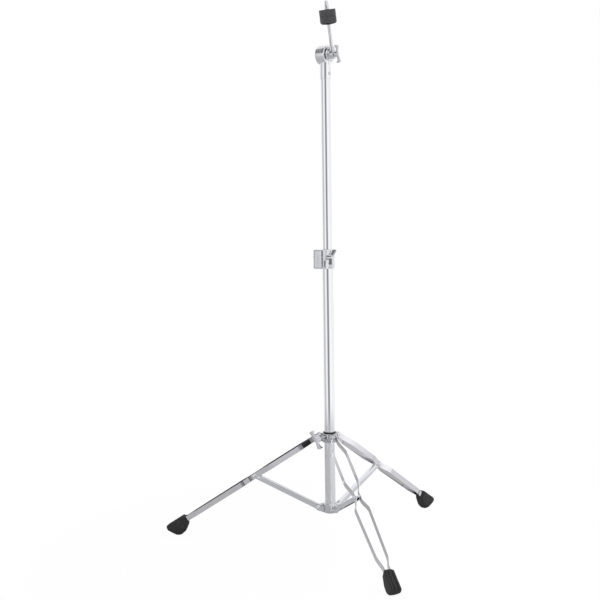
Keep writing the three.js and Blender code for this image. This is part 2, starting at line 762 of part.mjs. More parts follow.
// Tilter body: a neck over the tube's end and a grooved drum across it, whose axis is X
const neck_bore = upper_tube_radius + running_gap;
const neck_outer = neck_bore + neck_wall;
const neck_foot = neck_bottom - tilter_height;
const drum_half = drum_width / 2;
const tilter_bolt_radius = tilter_bolt_diameter / 2;

function tilterBody() {
  const neck = bar(neck_outer, neck_foot, -drum_radius / 2, tube_sides);
  const profile = [[0, -drum_half], [drum_radius - drum_edge, -drum_half], [drum_radius, drum_edge - drum_half]];
  const grooves_width = (drum_groove_count - 1) * drum_groove_spacing;
  for (let i = 0; i < drum_groove_count; i++) {
    const middle = i * drum_groove_spacing - grooves_width / 2;
    const low = middle - drum_groove_width / 2;
    const high = middle + drum_groove_width / 2;
    profile.push([drum_radius, low], [drum_radius - drum_groove_depth, low],
      [drum_radius - drum_groove_depth, high], [drum_radius, high]);
  }
  profile.push([drum_radius, drum_half - drum_edge], [drum_radius - drum_edge, drum_half], [0, drum_half]);
  const recess = alongX(bar(drum_recess_radius, drum_half - drum_recess_depth, drum_half + cut_overrun,
    drum_sides));
  const rivet_reach = neck_outer + cut_overrun;
  const rivet_hole = alongX(bar(neck_screw_diameter / 2 + running_gap, 0, rivet_reach, pin_sides))
    .translate([0, 0, neck_foot + neck_screw_over_foot]);
  const bolt_hole = alongX(bar(tilter_bolt_radius + running_gap, -drum_width, drum_width, pin_sides));
  return neck.add(alongX(turned(profile, drum_sides)))
    .subtract(recess)
    .subtract(bar(neck_bore, neck_foot - cut_overrun, neck_foot + neck_tube_depth + running_gap, tube_sides))
    .subtract(rivet_hole)
    .subtract(bolt_hole);
}
const tilter_frame = frameAt(stand, 0, 0, tilter_height);
tilter_frame.rotation.z = tilter_azimuth_deg * radians;
addPiece(tilter_frame, 'tilter_body', tilterBody(), chrome);

// Screw that holds the neck to the tube
function neckScrew() {
  const head_foot = neck_outer + running_gap;
  const radius = neck_screw_diameter / 2;
  return alongX(bar(radius, upper_tube_radius + running_gap, head_foot, pin_sides)
    .add(bar(radius * 1.5, head_foot, head_foot + neck_screw_head_height, pin_sides)));
}
const neck_screw_frame = frameAt(tilter_frame, 0, 0, neck_foot + neck_screw_over_foot);
addPiece(neck_screw_frame, 'neck_screw', neckScrew(), chrome);

// Tilter arm: a disc in the drum's recess and a head that the rod is screwed into
const arm_disc_low = drum_half - drum_recess_depth + running_gap;
const arm_block_low = drum_half + arm_disc_stand_off;
const arm_block_high = arm_block_low + arm_block_width;
const rod_offset = (arm_block_low + arm_block_high) / 2;
const rod_radius = rod_diameter / 2;

function tilterArm() {
  const head = new THREE.Shape();
  head.absarc(0, 0, arm_block_radius, Math.PI, Math.PI * 2, false);
  head.lineTo(arm_head_half_width, arm_block_radius);
  head.lineTo(arm_head_half_width, arm_head_height - arm_head_corner);
  head.quadraticCurveTo(arm_head_half_width, arm_head_height, arm_head_half_width - arm_head_corner,
    arm_head_height);
  head.lineTo(arm_head_corner - arm_head_half_width, arm_head_height);
  head.quadraticCurveTo(-arm_head_half_width, arm_head_height, -arm_head_half_width,
    arm_head_height - arm_head_corner);
  head.lineTo(-arm_head_half_width, arm_block_radius);
  const body = upright(head, arm_block_low, arm_block_high).rotate([0, 0, 90]).rotate([0, 90, 0]);
  const disc = alongX(bar(arm_disc_radius, arm_disc_low, arm_block_low + running_gap, tube_sides));
  const bolt_hole = alongX(bar(tilter_bolt_radius + running_gap, -drum_width, 2 * drum_width, pin_sides));
  const rod_hole = bar(rod_radius + running_gap, rod_foot_height - running_gap,
    arm_head_height + cut_overrun, pin_sides).translate([rod_offset, 0, 0]);
  return body.add(disc).subtract(bolt_hole).subtract(rod_hole);
}
const arm_frame = frameAt(tilter_frame, 0, 0, 0);
arm_frame.rotation.x = rod_tilt_deg * radians;
addPiece(arm_frame, 'tilter_arm', tilterArm(), chrome);

// Bolt and wing nut of the tilter
function tilterBolt() {
  const head_high = -drum_half - running_gap;
  const end = arm_block_high + running_gap + small_wing_rise * wing_hub_height_share + bolt_end_over_nut;
  return alongX(bar(tilter_bolt_head_diameter / 2, head_high - tilter_bolt_head_height, head_high, pin_sides)
    .add(bar(tilter_bolt_radius, head_high - tilter_bolt_head_height, end, pin_sides)));
}
addPiece(tilter_frame, 'tilter_bolt', tilterBolt(), chrome);

const tilter_wing_frame = frameAt(tilter_frame, arm_block_high + running_gap, 0, 0);
tilter_wing_frame.rotation.set(0, Math.PI / 2, 0);
const tilter_wing = addPiece(tilter_wing_frame, 'tilter_wing_nut',
  wingNut(small_wings, tilter_bolt_radius).rotate([0, 0, 90]), chrome);
tilter_wing.rotation.z = -tilter_wing_turn_deg * radians;

// Cymbal rod with its shoulder, and the stack that grips a cymbal
const rod_frame = frameAt(arm_frame, rod_offset, 0, 0);
const thread_radius = rod_thread_diameter / 2;

function cymbalRod() {
  return turned([
    [0, rod_foot_height],
    [rod_radius, rod_foot_height],
    [rod_radius, rod_shoulder_height],
    [thread_radius, rod_shoulder_height],
    [thread_radius, rod_top_height - rod_chamfer],
    [thread_radius - rod_chamfer, rod_top_height],
    [0, rod_top_height],
  ], pin_sides);
}
addPiece(rod_frame, 'cymbal_rod', cymbalRod(), chrome);

const washer_low = rod_shoulder_height + running_gap;
const washer_face = washer_low + seat_washer_cup_depth + seat_washer_gauge;
const felt_low = washer_face + running_gap;
const upper_felt_low = felt_low + felt_height + running_gap;
const stack_top = upper_felt_low + felt_height;

function seatWasher() {
  const bore = thread_radius + running_gap;
  const rim = seat_washer_diameter / 2;
  const boss = seat_washer_boss_diameter / 2;
  return turned([[bore, washer_low], [boss, washer_low], [rim, washer_low + seat_washer_cup_depth],
    [rim, washer_face], [bore, washer_face]], tube_sides);
}
addPiece(rod_frame, 'seat_washer', seatWasher(), black_nylon);

const sleeve_bore = thread_radius + running_gap;
const sleeve_outer = sleeve_bore + sleeve_wall;
addPiece(rod_frame, 'cymbal_sleeve', pipe(sleeve_bore, sleeve_outer, felt_low, stack_top, pin_sides),
  black_nylon);

function feltPad(low) {
  const bore = sleeve_outer + running_gap;
  const rim = felt_diameter / 2;
  const high = low + felt_height;
  return turned([[bore, low], [rim - felt_edge, low], [rim, low + felt_edge], [rim, high - felt_edge],
    [rim - felt_edge, high], [bore, high]], tube_sides);
}
addPiece(rod_frame, 'lower_felt', feltPad(felt_low), felt);
addPiece(rod_frame, 'upper_felt', feltPad(upper_felt_low), felt);

const top_wing_frame = frameAt(rod_frame, 0, 0, stack_top + running_gap);
const top_wing = addPiece(top_wing_frame, 'top_wing_nut', wingNut(top_wings, thread_radius), chrome);
top_wing.rotation.z = top_wing_turn_deg * radians;

// Centre the stand on its footprint, with its lowest face on z = 0.
stand.updateMatrixWorld(true);
const extent = new THREE.Box3().setFromObject(stand, true);
stand.position.set(-(extent.min.x + extent.max.x) / 2, -(extent.min.y + extent.max.y) / 2, -extent.min.z);
stand.updateMatrixWorld(true);

export default stand;
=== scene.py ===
import json
import math

import bmesh
import bpy
from mathutils import Matrix, Vector


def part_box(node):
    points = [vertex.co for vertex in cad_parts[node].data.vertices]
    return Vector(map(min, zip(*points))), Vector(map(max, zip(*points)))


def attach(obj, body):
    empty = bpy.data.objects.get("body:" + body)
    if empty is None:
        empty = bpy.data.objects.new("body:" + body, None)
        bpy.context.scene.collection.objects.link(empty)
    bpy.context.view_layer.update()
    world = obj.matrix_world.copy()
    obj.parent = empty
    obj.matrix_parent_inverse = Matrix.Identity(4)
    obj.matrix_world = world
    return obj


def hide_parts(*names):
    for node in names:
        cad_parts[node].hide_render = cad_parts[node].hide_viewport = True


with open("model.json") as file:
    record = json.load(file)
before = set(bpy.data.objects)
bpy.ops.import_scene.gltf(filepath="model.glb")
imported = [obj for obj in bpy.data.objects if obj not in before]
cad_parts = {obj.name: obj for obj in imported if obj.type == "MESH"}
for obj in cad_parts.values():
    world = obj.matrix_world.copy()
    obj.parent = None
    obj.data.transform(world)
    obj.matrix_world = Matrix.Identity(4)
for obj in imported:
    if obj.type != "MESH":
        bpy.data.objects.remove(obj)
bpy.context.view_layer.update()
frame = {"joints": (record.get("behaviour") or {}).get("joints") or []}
joints = {joint["name"]: joint for joint in frame["joints"]}
scene = bpy.context.scene

# The camera stands in front of the stand, a little to the left of its front leg, and looks
# slightly down. Its place and lens match the tubes and legs of the picture.
axis_x, axis_y = joints["mast_turn"]["pos_m"][:2]
camera_distance = 2.852
camera_height = 0.9063
camera_azimuth = math.radians(250.67)
camera_pitch = math.radians(6.014)
camera_yaw = math.radians(-1.366)
camera_roll = math.radians(0.817)
lens_mm = 70.76
sensor_mm = 36

camera_data = bpy.data.cameras.new("camera")
camera_data.lens = lens_mm
camera_data.sensor_width = sensor_mm
camera = bpy.data.objects.new("camera", camera_data)
scene.collection.objects.link(camera)
camera.matrix_world = (
    Matrix.Translation((
        axis_x + camera_distance * math.cos(camera_azimuth),
        axis_y + camera_distance * math.sin(camera_azimuth),
        camera_height,
    ))
    @ Matrix.Rotation(camera_azimuth + math.pi / 2, 4, "Z")
    @ Matrix.Rotation(math.pi / 2, 4, "X")
    @ Matrix.Rotation(-camera_yaw, 4, "Y")
    @ Matrix.Rotation(-camera_pitch, 4, "X")
    @ Matrix.Rotation(-camera_roll, 4, "Z")
)
scene.camera = camera
scene.view_settings.view_transform = "Standard"

# The studio is a white room. Polished plating also sees soft grey panels near the floor, at eye height
# and overhead, each given as a compass turn from the camera and a grey, and a dark doorway behind it.
panels_low = [
    (-180, 0.5), (-125, 0.46), (-100, 0.43), (-70, 0.5), (-45, 0.62), (-21, 0.52), (-8, 0.46),
    (8, 0.46), (24, 0.62), (50, 0.66), (73, 0.66), (92, 0.62), (112, 0.56), (135, 0.9), (165, 1),
    (180, 0.5),
]
panels_high = [
    (-180, 1), (-176, 0.3), (-164, 0.3), (-156, 0.95), (-130, 1), (-112, 0.56), (-72, 0.6),
    (-50, 0.99), (-34, 0.98), (-19, 0.46), (-8, 0.24), (8.5, 0.24), (9, 0.46), (19, 0.56), (30, 1),
    (62, 1), (85, 0.92), (110, 0.9), (128, 1), (150, 1), (158, 0.3), (172, 0.25), (176, 1),
    (180, 1),
]
panels_overhead = [
    (-180, 0.95), (-125, 0.9), (-100, 0.22), (-48, 0.16), (-30, 0.85), (0, 0.95), (60, 0.8), (90, 0.5),
    (120, 0.9), (180, 0.95),
]
panel_blue = 1.035
panels_meet = (-0.27, -0.2)
overhead_starts = (0.24, 0.34)
ceiling_starts = (0.9, 0.98)
doorway_turns_deg = (4.5, 5, 8.5, 8.8)
doorway_heights = (0.05, 0.07, 0.17, 0.19)
doorway_grey = 0.02
diffuse_light = 0.9
white = (1, 1, 1, 1)


def feed(tree, socket, value):
    if isinstance(value, bpy.types.NodeSocket):
        tree.links.new(value, socket)
    elif value is not None:
        socket.default_value = value


def add(tree, kind, **values):
    node = tree.nodes.new("ShaderNode" + kind)
    for name, value in values.items():
        feed(tree, node.inputs[name], value)
    return node


def reckon(tree, operation, *values):
    node = add(tree, "Math")
    node.operation = operation
    for socket, value in zip(node.inputs, values):
        feed(tree, socket, value)
    return node.outputs[0]


def ranged(tree, value, low, high, smooth=False):
    node = add(tree, "MapRange")
    node.interpolation_type = "SMOOTHSTEP" if smooth else "LINEAR"
    for name, number in zip(("Value", "From Min", "From Max", "To Min", "To Max"), (value, *low, *high)):
        feed(tree, node.inputs[name], number)
    return node.outputs["Result"]


def mixed_colour(tree, factor, first, second):
    node = add(tree, "Mix")
    node.data_type = "RGBA"
    for index, value in zip((0, 6, 7), (factor, first, second)):
        feed(tree, node.inputs[index], value)
    return node.outputs[2]


def mixed_shader(tree, factor, first, second):
    node = add(tree, "MixShader")
    for socket, value in zip(node.inputs, (factor, first, second)):
        feed(tree, socket, value)
    return node.outputs["Shader"]


def panel_colours(tree, turn_share, panels):
    node = add(tree, "ValToRGB", Fac=turn_share)
    elements = node.color_ramp.elements
    while len(elements) < len(panels):
        elements.new(1)
    for element, (turn, grey) in zip(elements, panels):
        element.position = turn / 360 + 0.5
        element.color = (grey, grey, min(1, grey * panel_blue), 1)
    return node.outputs["Color"]


world = bpy.data.worlds.new("white_studio")
scene.world = world
world.use_nodes = True
tree = world.node_tree
tree.nodes.clear()
from_camera = add(tree, "Mapping", Vector=add(tree, "TexCoord").outputs["Generated"],
                  Rotation=(0, 0, -camera_azimuth))
direction = add(tree, "SeparateXYZ", Vector=from_camera.outputs["Vector"])
height = direction.outputs["Z"]
turn = reckon(tree, "ARCTAN2", direction.outputs["Y"], direction.outputs["X"])
turn_share = reckon(tree, "MULTIPLY_ADD", turn, 1 / (2 * math.pi), 0.5)
whole_room, high_colour, overhead_colour = (
    panel_colours(tree, turn_share, panels) for panels in (panels_low, panels_high, panels_overhead)
)
for edges, colour, smooth in (
    (panels_meet, high_colour, True), (overhead_starts, overhead_colour, True),
    (ceiling_starts, white, False),
):
    whole_room = mixed_colour(tree, ranged(tree, height, edges, (0, 1), smooth), whole_room, colour)
doorway = 1
doorway_sides = [side_deg / 360 + 0.5 for side_deg in doorway_turns_deg]
for value, edges in ((turn_share, doorway_sides), (height, doorway_heights)):
    rises = ranged(tree, value, edges[:2], (0, 1), smooth=True)
    falls = ranged(tree, value, edges[2:], (1, 0), smooth=True)
    doorway = reckon(tree, "MULTIPLY", reckon(tree, "MULTIPLY", rises, falls), doorway)
whole_room = mixed_colour(tree, doorway, whole_room, (doorway_grey, doorway_grey, doorway_grey, 1))
light_path = add(tree, "LightPath").outputs
seen = add(tree, "Background", Color=mixed_colour(tree, light_path["Is Camera Ray"], whole_room, white))
soft = add(tree, "Background", Color=white, Strength=diffuse_light)
by_metal = reckon(tree, "MAXIMUM", light_path["Is Glossy Ray"], light_path["Is Transmission Ray"])
by_eye = reckon(tree, "MAXIMUM", light_path["Is Camera Ray"], by_metal)
add(tree, "OutputWorld",
    Surface=mixed_shader(tree, by_eye, soft.outputs["Background"], seen.outputs["Background"]))

# The floor is a pale matt disc. The camera sees it nearly as white as the room, with a faint shadow
# under the feet, while plating sees its true grey, lighter to the right.
floor_radius = 0.75
floor_greys = (0.55, 0.76)
floor_blue = 1.02
floor_shading = (-0.2, 0.35)
floor_white_share = 0.9
floor_glow = 1.05

floor_shape = bmesh.new()
bmesh.ops.create_circle(floor_shape, cap_ends=True, radius=floor_radius, segments=96)
floor_mesh = bpy.data.meshes.new("floor")
floor_shape.to_mesh(floor_mesh)
floor_shape.free()
floor = bpy.data.objects.new("floor", floor_mesh)
scene.collection.objects.link(floor)
floor_paint = bpy.data.materials.new("pale_floor_paint")
floor_paint.use_nodes = True
tree = floor_paint.node_tree
tree.nodes.clear()
floor_parts = add(tree, "SeparateXYZ", Vector=add(tree, "TexCoord").outputs["Object"])
to_right = reckon(tree, "MULTIPLY_ADD", floor_parts.outputs["X"], -math.sin(camera_azimuth),
                  reckon(tree, "MULTIPLY", floor_parts.outputs["Y"], math.cos(camera_azimuth)))
right_share = ranged(tree, to_right, floor_shading, (0, 1), smooth=True)
left_grey, right_grey = ((grey, grey, grey * floor_blue, 1) for grey in floor_greys)
matt = add(tree, "BsdfDiffuse", Color=mixed_colour(tree, right_share, left_grey, right_grey))
glow = add(tree, "Emission", Strength=floor_glow)
whitened = reckon(tree, "MULTIPLY", add(tree, "LightPath").outputs["Is Camera Ray"], floor_white_share)
add(tree, "OutputMaterial",
    Surface=mixed_shader(tree, whitened, matt.outputs["BSDF"], glow.outputs["Emission"]))
floor_mesh.materials.append(floor_paint)

# Base tube: a drawn steel tube, polished and chrome plated, that stands in the lower hub
# and carries the height clamp at its mouth. Its cut ends are lightly rounded.
mm = 0.001
base_tube_radius = 12.7
tube_wall = 1.2
tube_end_round = 0.4
tube_sides = 96
sharp_turn = math.radians(34)
merge_distance = 0.0005
smudge_scale = 26
smudge_limits = (0.42, 0.68)
hairline_scale = 420
hairline_depth_m = 0.0002
along_tube = (1, 1, 14)


def eased(corners, radius, steps=4):
    """Rounds the corners of a closed outline, apart from those that lie on the turning axis."""
    outline = []
    for index, corner in enumerate(corners):
        corner = Vector(corner)
        if corner.x == 0:
            outline.append(tuple(corner))
            continue
        before = Vector(corners[index - 1]) - corner
        after = Vector(corners[(index + 1) % len(corners)]) - corner
        start = corner + before.normalized() * min(radius, before.length * 0.45)
        end = corner + after.normalized() * min(radius, after.length * 0.45)
        for step in range(steps + 1):
            share = step / steps
            outline.append(tuple(start.lerp(corner, share).lerp(corner.lerp(end, share), share)))
    return outline


def turned(profile, sides=tube_sides):
    """Spins a closed outline of radii and heights round Z, as on a lathe."""
    shape = bmesh.new()
    points = [shape.verts.new((radius, 0, height)) for radius, height in profile]
    edges = [shape.edges.new(pair) for pair in zip(points, points[1:])]
    if profile[0][0] > 0:
        edges.append(shape.edges.new((points[-1], points[0])))
    bmesh.ops.spin(shape, geom=points + edges, cent=(0, 0, 0), axis=(0, 0, 1), angle=2 * math.pi, steps=sides,
                   use_merge=True)
    bmesh.ops.remove_doubles(shape, verts=shape.verts, dist=merge_distance)
    bmesh.ops.recalc_face_normals(shape, faces=shape.faces)
    return shape


def oblong(left, low, right, high):
    return [(left, low), (right, low), (right, high), (left, high)]


def ring(inner, outer, low, high, edge=0, sides=tube_sides, steps=4):
    """A turned ring, or a plain round bar where the inner radius is 0, with its edges rounded."""
    outline = oblong(inner, low, outer, high)
    return turned(eased(outline, edge, steps) if edge else outline, sides)


def moved(shape, matrix):
    bmesh.ops.transform(shape, matrix=matrix, verts=shape.verts)
    return shape


def gathered(*shapes):
    """Puts several shapes of one piece into one mesh."""
    whole = bmesh.new()
    for shape in shapes:
        mesh = bpy.data.meshes.new("shape")
        shape.to_mesh(mesh)
        shape.free()
        whole.from_mesh(mesh)
        bpy.data.meshes.remove(mesh)
    return whole


def settled(node, shape, place, material, body):
    """Makes the finished piece of a shape in millimetres, puts it in its place and on its body."""
    moved(shape, place @ Matrix.Scale(mm, 4))
    mesh = bpy.data.meshes.new("finished_" + node)
    shape.to_mesh(mesh)
    shape.free()
    mesh.shade_smooth()
    mesh.set_sharp_from_angle(angle=sharp_turn)
    mesh.materials.append(material)
    piece = bpy.data.objects.new("finished_" + node, mesh)
    scene.collection.objects.link(piece)
    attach(piece, body)
    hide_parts(node)
    return piece


def marks_group(name, inputs):
    """The marks on a finish, as a tint, a roughness and a height, with the inputs they are worked from."""
    group = bpy.data.node_groups.new(name, "ShaderNodeTree")
    for label, kind in (("Vector", "Vector"), *inputs):
        group.interface.new_socket(name=label, in_out="INPUT", socket_type="NodeSocket" + kind)
    for label, kind in (("Tint", "Color"), ("Roughness", "Float"), ("Height", "Float")):
        group.interface.new_socket(name=label, in_out="OUTPUT", socket_type="NodeSocket" + kind)
    return group, group.nodes.new("NodeGroupInput").outputs, group.nodes.new("NodeGroupOutput").inputs


def noise(tree, vector, scale, detail=3, roughness=0.5):
    node = add(tree, "TexNoise", Vector=vector, Scale=scale, Detail=detail, Roughness=roughness)
    return node.outputs["Fac"]


def new_material(name):
    material = bpy.data.materials.new(name)
    material.use_nodes = True
    return material, material.node_tree, material.node_tree.nodes["Principled BSDF"]


def relieve(tree, shader, height, strength, depth_m):
    bump = add(tree, "Bump", Strength=strength, Distance=depth_m, Height=height)
    feed(tree, shader.inputs["Normal"], bump.outputs["Normal"])


def marked(tree, shader, group, relief, depth_m, values):
    """Places a group of marks in a material, with the material's own values."""
    marks = add(tree, "Group")
    marks.node_tree = group
    for label, value in values.items():
        feed(tree, marks.inputs[label], value)
    feed(tree, shader.inputs["Base Color"], marks.outputs["Tint"])
    feed(tree, shader.inputs["Roughness"], marks.outputs["Roughness"])
    relieve(tree, shader, marks.outputs["Height"], relief, depth_m)


# what buffing and handling leave on plated metal: broad smudges, fine hairlines and a breath of tint
polish_marks, given, made = marks_group("polish_marks", [
    ("Hairline Scale", "Float"), ("Clean", "Float"), ("Smudged", "Float"), ("Bright", "Color"),
    ("Dull", "Color"),
])
smudges = noise(polish_marks, given["Vector"], smudge_scale, detail=5, roughness=0.6)
patches = ranged(polish_marks, smudges, smudge_limits, (0, 1), smooth=True)
hairlines = noise(polish_marks, given["Vector"], given["Hairline Scale"], detail=2)
worn = reckon(polish_marks, "MULTIPLY", patches, hairlines)
spread = reckon(polish_marks, "SUBTRACT", given["Smudged"], given["Clean"])
feed(polish_marks, made["Tint"], mixed_colour(polish_marks, worn, given["Bright"], given["Dull"]))
feed(polish_marks, made["Roughness"], reckon(polish_marks, "MULTIPLY_ADD", worn, spread, given["Clean"]))
feed(polish_marks, made["Height"], hairlines)


def plated(name, clean, smudged, bright, dull, stretch=(1, 1, 1), angles=(0, 0, 0), relief=0.02):
    """Bright plated metal whose hairlines run along the piece's own length."""
    material, tree, shader = new_material(name)
    shader.inputs["Metallic"].default_value = 1
    place = add(tree, "TexCoord").outputs["Object"]
    along = add(tree, "Mapping", Vector=place, Rotation=angles, Scale=stretch)
    along.vector_type = "TEXTURE"
    marked(tree, shader, polish_marks, relief, hairline_depth_m, {
        "Vector": along.outputs["Vector"], "Hairline Scale": hairline_scale, "Clean": clean,
        "Smudged": smudged, "Bright": (*bright, 1), "Dull": (*dull, 1),
    })
    return material


def tube(node, radius, body):
    """A plated tube on the stand's axis, as long as its node in the frame."""
    low, high = (corner.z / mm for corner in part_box(node))
    settled(node, ring(radius - tube_wall, radius, low, high, tube_end_round), axis, tube_chrome, body)


tube_chrome = plated("tube_chrome", clean=0.035, smudged=0.11, bright=(0.945, 0.95, 0.96),
                     dull=(0.90, 0.905, 0.92), stretch=along_tube)
axis = Matrix.Translation((axis_x, axis_y, 0))
tube("base_tube", base_tube_radius, "base")

# Lower hub: a plated casting pressed onto the foot of the base tube. Three pairs of rounded
# ears stand out of its ring, and a headed pin through each pair carries the foot of a strut.
hub_bore = 13.0
hub_outer = 16.0
hub_half_height = 11
hub_edge = 1.0
strut_pivot_radius = 27.5
clevis_slot_half = 5.6
clevis_gauge = 2.5
clevis_eye_radius = 7
hub_root = 18.2
hub_web_inset = 1
hub_web_edge = 0.4
ear_overlap = 1.5
ear_setback = 0.2
strut_pin_half_width = 8.4
pin_radius = 3
pin_sides = 32
rivet_head_radius = 5
rivet_head_height = 2.2
dome_rim_share = 0.25
leg_azimuths = {"front": math.radians(-90), "right": math.radians(30), "left": math.radians(150)}
lay_along_y = Matrix.Rotation(math.radians(-90), 4, "X")
lay_along_x = Matrix.Rotation(math.radians(90), 4, "Y")
stand_on_edge = Matrix.Rotation(math.radians(90), 4, "X")


def at_joint(name, azimuth):
    return Matrix.Translation(joints[name]["pos_m"]) @ Matrix.Rotation(azimuth, 4, "Z")


def slab(outline, low, high):
    """A plate of one outline in X and Y, from one height to another."""
    shape = bmesh.new()
    face = shape.faces.new([shape.verts.new((x, y, low)) for x, y in outline])
    grown = bmesh.ops.extrude_face_region(shape, geom=[face])
    raised = [item for item in grown["geom"] if isinstance(item, bmesh.types.BMVert)]
    bmesh.ops.translate(shape, verts=raised, vec=(0, 0, high - low))
    bmesh.ops.recalc_face_normals(shape, faces=shape.faces)
    return shape


def bevelled(shape, edges, width, segments, clamp_overlap):
    bmesh.ops.bevel(shape, geom=edges, offset=width, offset_type="OFFSET", segments=segments, profile=0.5,
                    affect="EDGES", material=-1, clamp_overlap=clamp_overlap)
    return shape


def softened(shape, width, segments=2):
    """Rounds every edge that turns sharply, as tumbling does after casting or pressing."""
    edges = [edge for edge in shape.edges
             if len(edge.link_faces) == 2 and edge.calc_face_angle() > sharp_turn]
    return bevelled(shape, edges, width, segments, clamp_overlap=True)


def arc(x, y, radius, start_deg, end_deg, steps=16):
    angles = [math.radians(start_deg + (end_deg - start_deg) * step / steps) for step in range(steps + 1)]
    return [(x + radius * math.cos(angle), y + radius * math.sin(angle)) for angle in angles]


def ear(root, low, high, eye_along, eye_radius, side_low, side_high, edge=0.5):
    """A plate on edge that grows out of a ring and ends in a round eye on the ring's mid height."""
    outline = [(root, low), *arc(eye_along, 0, eye_radius, -90, 90, 24), (root, high)]
    return moved(softened(slab(outline, -side_high, -side_low), edge), stand_on_edge)


def domed_head(base, radius, height=rivet_head_height):
    """A low dome, as a rivet set leaves it."""
    angles = [math.radians(angle) for angle in range(0, 90, 9)]
    dome = [(radius * math.cos(angle),
             base + height * (dome_rim_share + (1 - dome_rim_share) * math.sin(angle))) for angle in angles]
    return turned([(0, base), (radius, base), *dome, (0, base + height)], sides=40)


def headed_pin(half_width):
    """A pin along Y with a domed head at each end."""
    shank = ring(0, pin_radius, -half_width, half_width, sides=pin_sides)
    far = domed_head(half_width, rivet_head_radius)
    near = moved(domed_head(half_width, rivet_head_radius), Matrix.Rotation(math.pi, 4, "X"))
    return moved(gathered(shank, far, near), lay_along_y)


# painted shade: the cast parts' plating is given a darker grey than the tube's, for their darker look
shaded_cast_chrome = plated("shaded_cast_chrome", clean=0.05, smudged=0.12, bright=(0.80, 0.805, 0.82),
                     dull=(0.70, 0.705, 0.72), relief=0.01)
rivet_chrome = plated("rivet_chrome", clean=0.09, smudged=0.2, bright=(0.90, 0.905, 0.92),
                      dull=(0.82, 0.825, 0.845))
hub_height = joints["front_strut_hinge"]["pos_m"][2]
hub_place = Matrix.Translation((axis_x, axis_y, hub_height))
hub_shapes = [ring(hub_bore, hub_outer, -hub_half_height, hub_half_height, hub_edge)]
web_half_width = clevis_slot_half + hub_web_inset
web_half_height = hub_half_height - hub_web_inset
web_outline = oblong(hub_bore + hub_web_inset, -web_half_width, hub_root, web_half_width)
for azimuth in leg_azimuths.values():
    outwards = Matrix.Rotation(azimuth, 4, "Z")
    root_web = softened(slab(web_outline, -web_half_height, web_half_height), hub_web_edge)
    hub_shapes.append(moved(root_web, outwards))
    for low in (clevis_slot_half, -clevis_slot_half - clevis_gauge):
        clevis_ear = ear(hub_bore + ear_overlap, ear_setback - hub_half_height, hub_half_height - ear_setback,
                         strut_pivot_radius, clevis_eye_radius, low, low + clevis_gauge)
        hub_shapes.append(moved(clevis_ear, outwards))
settled("strut_hub", gathered(*hub_shapes), hub_place, shaded_cast_chrome, "base")
for leg, azimuth in leg_azimuths.items():
    settled(leg + "_strut_pin", headed_pin(strut_pin_half_width), at_joint(leg + "_strut_hinge", azimuth),
            rivet_chrome, "base")

# Struts: short channels pressed from plated strip, open underneath, with two rounded cheeks at
# either end. Each turns on its pin in the hub and is riveted between the strips of its leg.
strut_half_width = 5
strut_half_depth = 6
strut_gauge = 1.5
strut_web_setback = 11
waist_over_hub = 74.04
strut_bend_radius = 1.6
cheek_radius = 5.97
cheek_inset = 0.03
cheek_edge = 0.35
waist_radius = 189.92


def lofted(sections):
    """Skins a row of closed outlines of the same number of points."""
    shape = bmesh.new()
    rings = []
    for section in sections:
        points = [shape.verts.new(point) for point in section]
        rings.append((points, [shape.edges.new(pair) for pair in zip(points, points[1:] + points[:1])]))
    for (_, near), (_, far) in zip(rings, rings[1:]):
        bmesh.ops.bridge_loops(shape, edges=near + far)
    shape.faces.new(rings[0][0])
    shape.faces.new(rings[-1][0])
    bmesh.ops.recalc_face_normals(shape, faces=shape.faces)
    return shape


def strut_metal(leg, angles):
    return plated(leg + "_strut_chrome", clean=0.07, smudged=0.2, bright=(0.88, 0.885, 0.9),
                  dull=(0.8, 0.805, 0.82), stretch=(14, 1, 1), angles=angles, relief=0.06)


strut_run = waist_radius - strut_pivot_radius
strut_slope = math.atan2(waist_over_hub, strut_run)
strut_length = math.hypot(strut_run, waist_over_hub)
inner = strut_half_width - strut_gauge
channel = eased([
    (-strut_half_width, -strut_half_depth), (-strut_half_width, strut_half_depth),
    (strut_half_width, strut_half_depth), (strut_half_width, -strut_half_depth),
    (inner, -strut_half_depth), (inner, strut_half_depth - strut_gauge),
    (-inner, strut_half_depth - strut_gauge), (-inner, -strut_half_depth),
], strut_bend_radius, steps=5)
for leg, azimuth in leg_azimuths.items():
    web = lofted([[(along, y, z) for y, z in channel]
                  for along in (strut_web_setback, strut_length - strut_web_setback)])
    cheek_outline = arc(strut_length, 0, cheek_radius, -90, 90, 24) + arc(0, 0, cheek_radius, 90, 270, 24)
    cheeks = []
    for low in (-strut_half_width, inner):
        cheek = slab(cheek_outline, low + cheek_inset, low + strut_gauge - cheek_inset)
        cheeks.append(moved(softened(cheek, cheek_edge), stand_on_edge))
    strut_place = at_joint(leg + "_strut_hinge", azimuth) @ Matrix.Rotation(-strut_slope, 4, "Y")
    settled(leg + "_strut", gathered(web, *cheeks), strut_place,
            strut_metal(leg, (0, -strut_slope, azimuth)), leg + "_brace")

# Leg collar: a plated casting that slides on the base tube on a black nylon bush, whose rim shows
# above it. It has a lug for each leg and a bored boss for its wing screw.
collar_bore = 14.9
collar_outer = 17.5
collar_low = -15
collar_high = 7
collar_edge = 0.8
leg_pivot_radius = 26
lug_eye_radius = 6.2
lug_half_width = 5
boss_radius = 6.5
boss_reach = 33
boss_below_top = 9
boss_bore = 4.3
boss_edge = 1.0
lug_overlap = 1.3
lug_edge = 0.9
leg_pin_half_width = 7.7
bush_outer = 14.6
bush_profile = [(13, collar_low), (bush_outer, collar_low), (bush_outer, 7.3), (15.5, 7.3), (15.5, 10),
                (13, 10)]
scuff_scale = 60
scuff_limits = (0.5, 0.72)
grain_limits = (0.3, 0.7)
grain_depth_m = 0.0003
collar_screw_azimuth = math.radians(210)


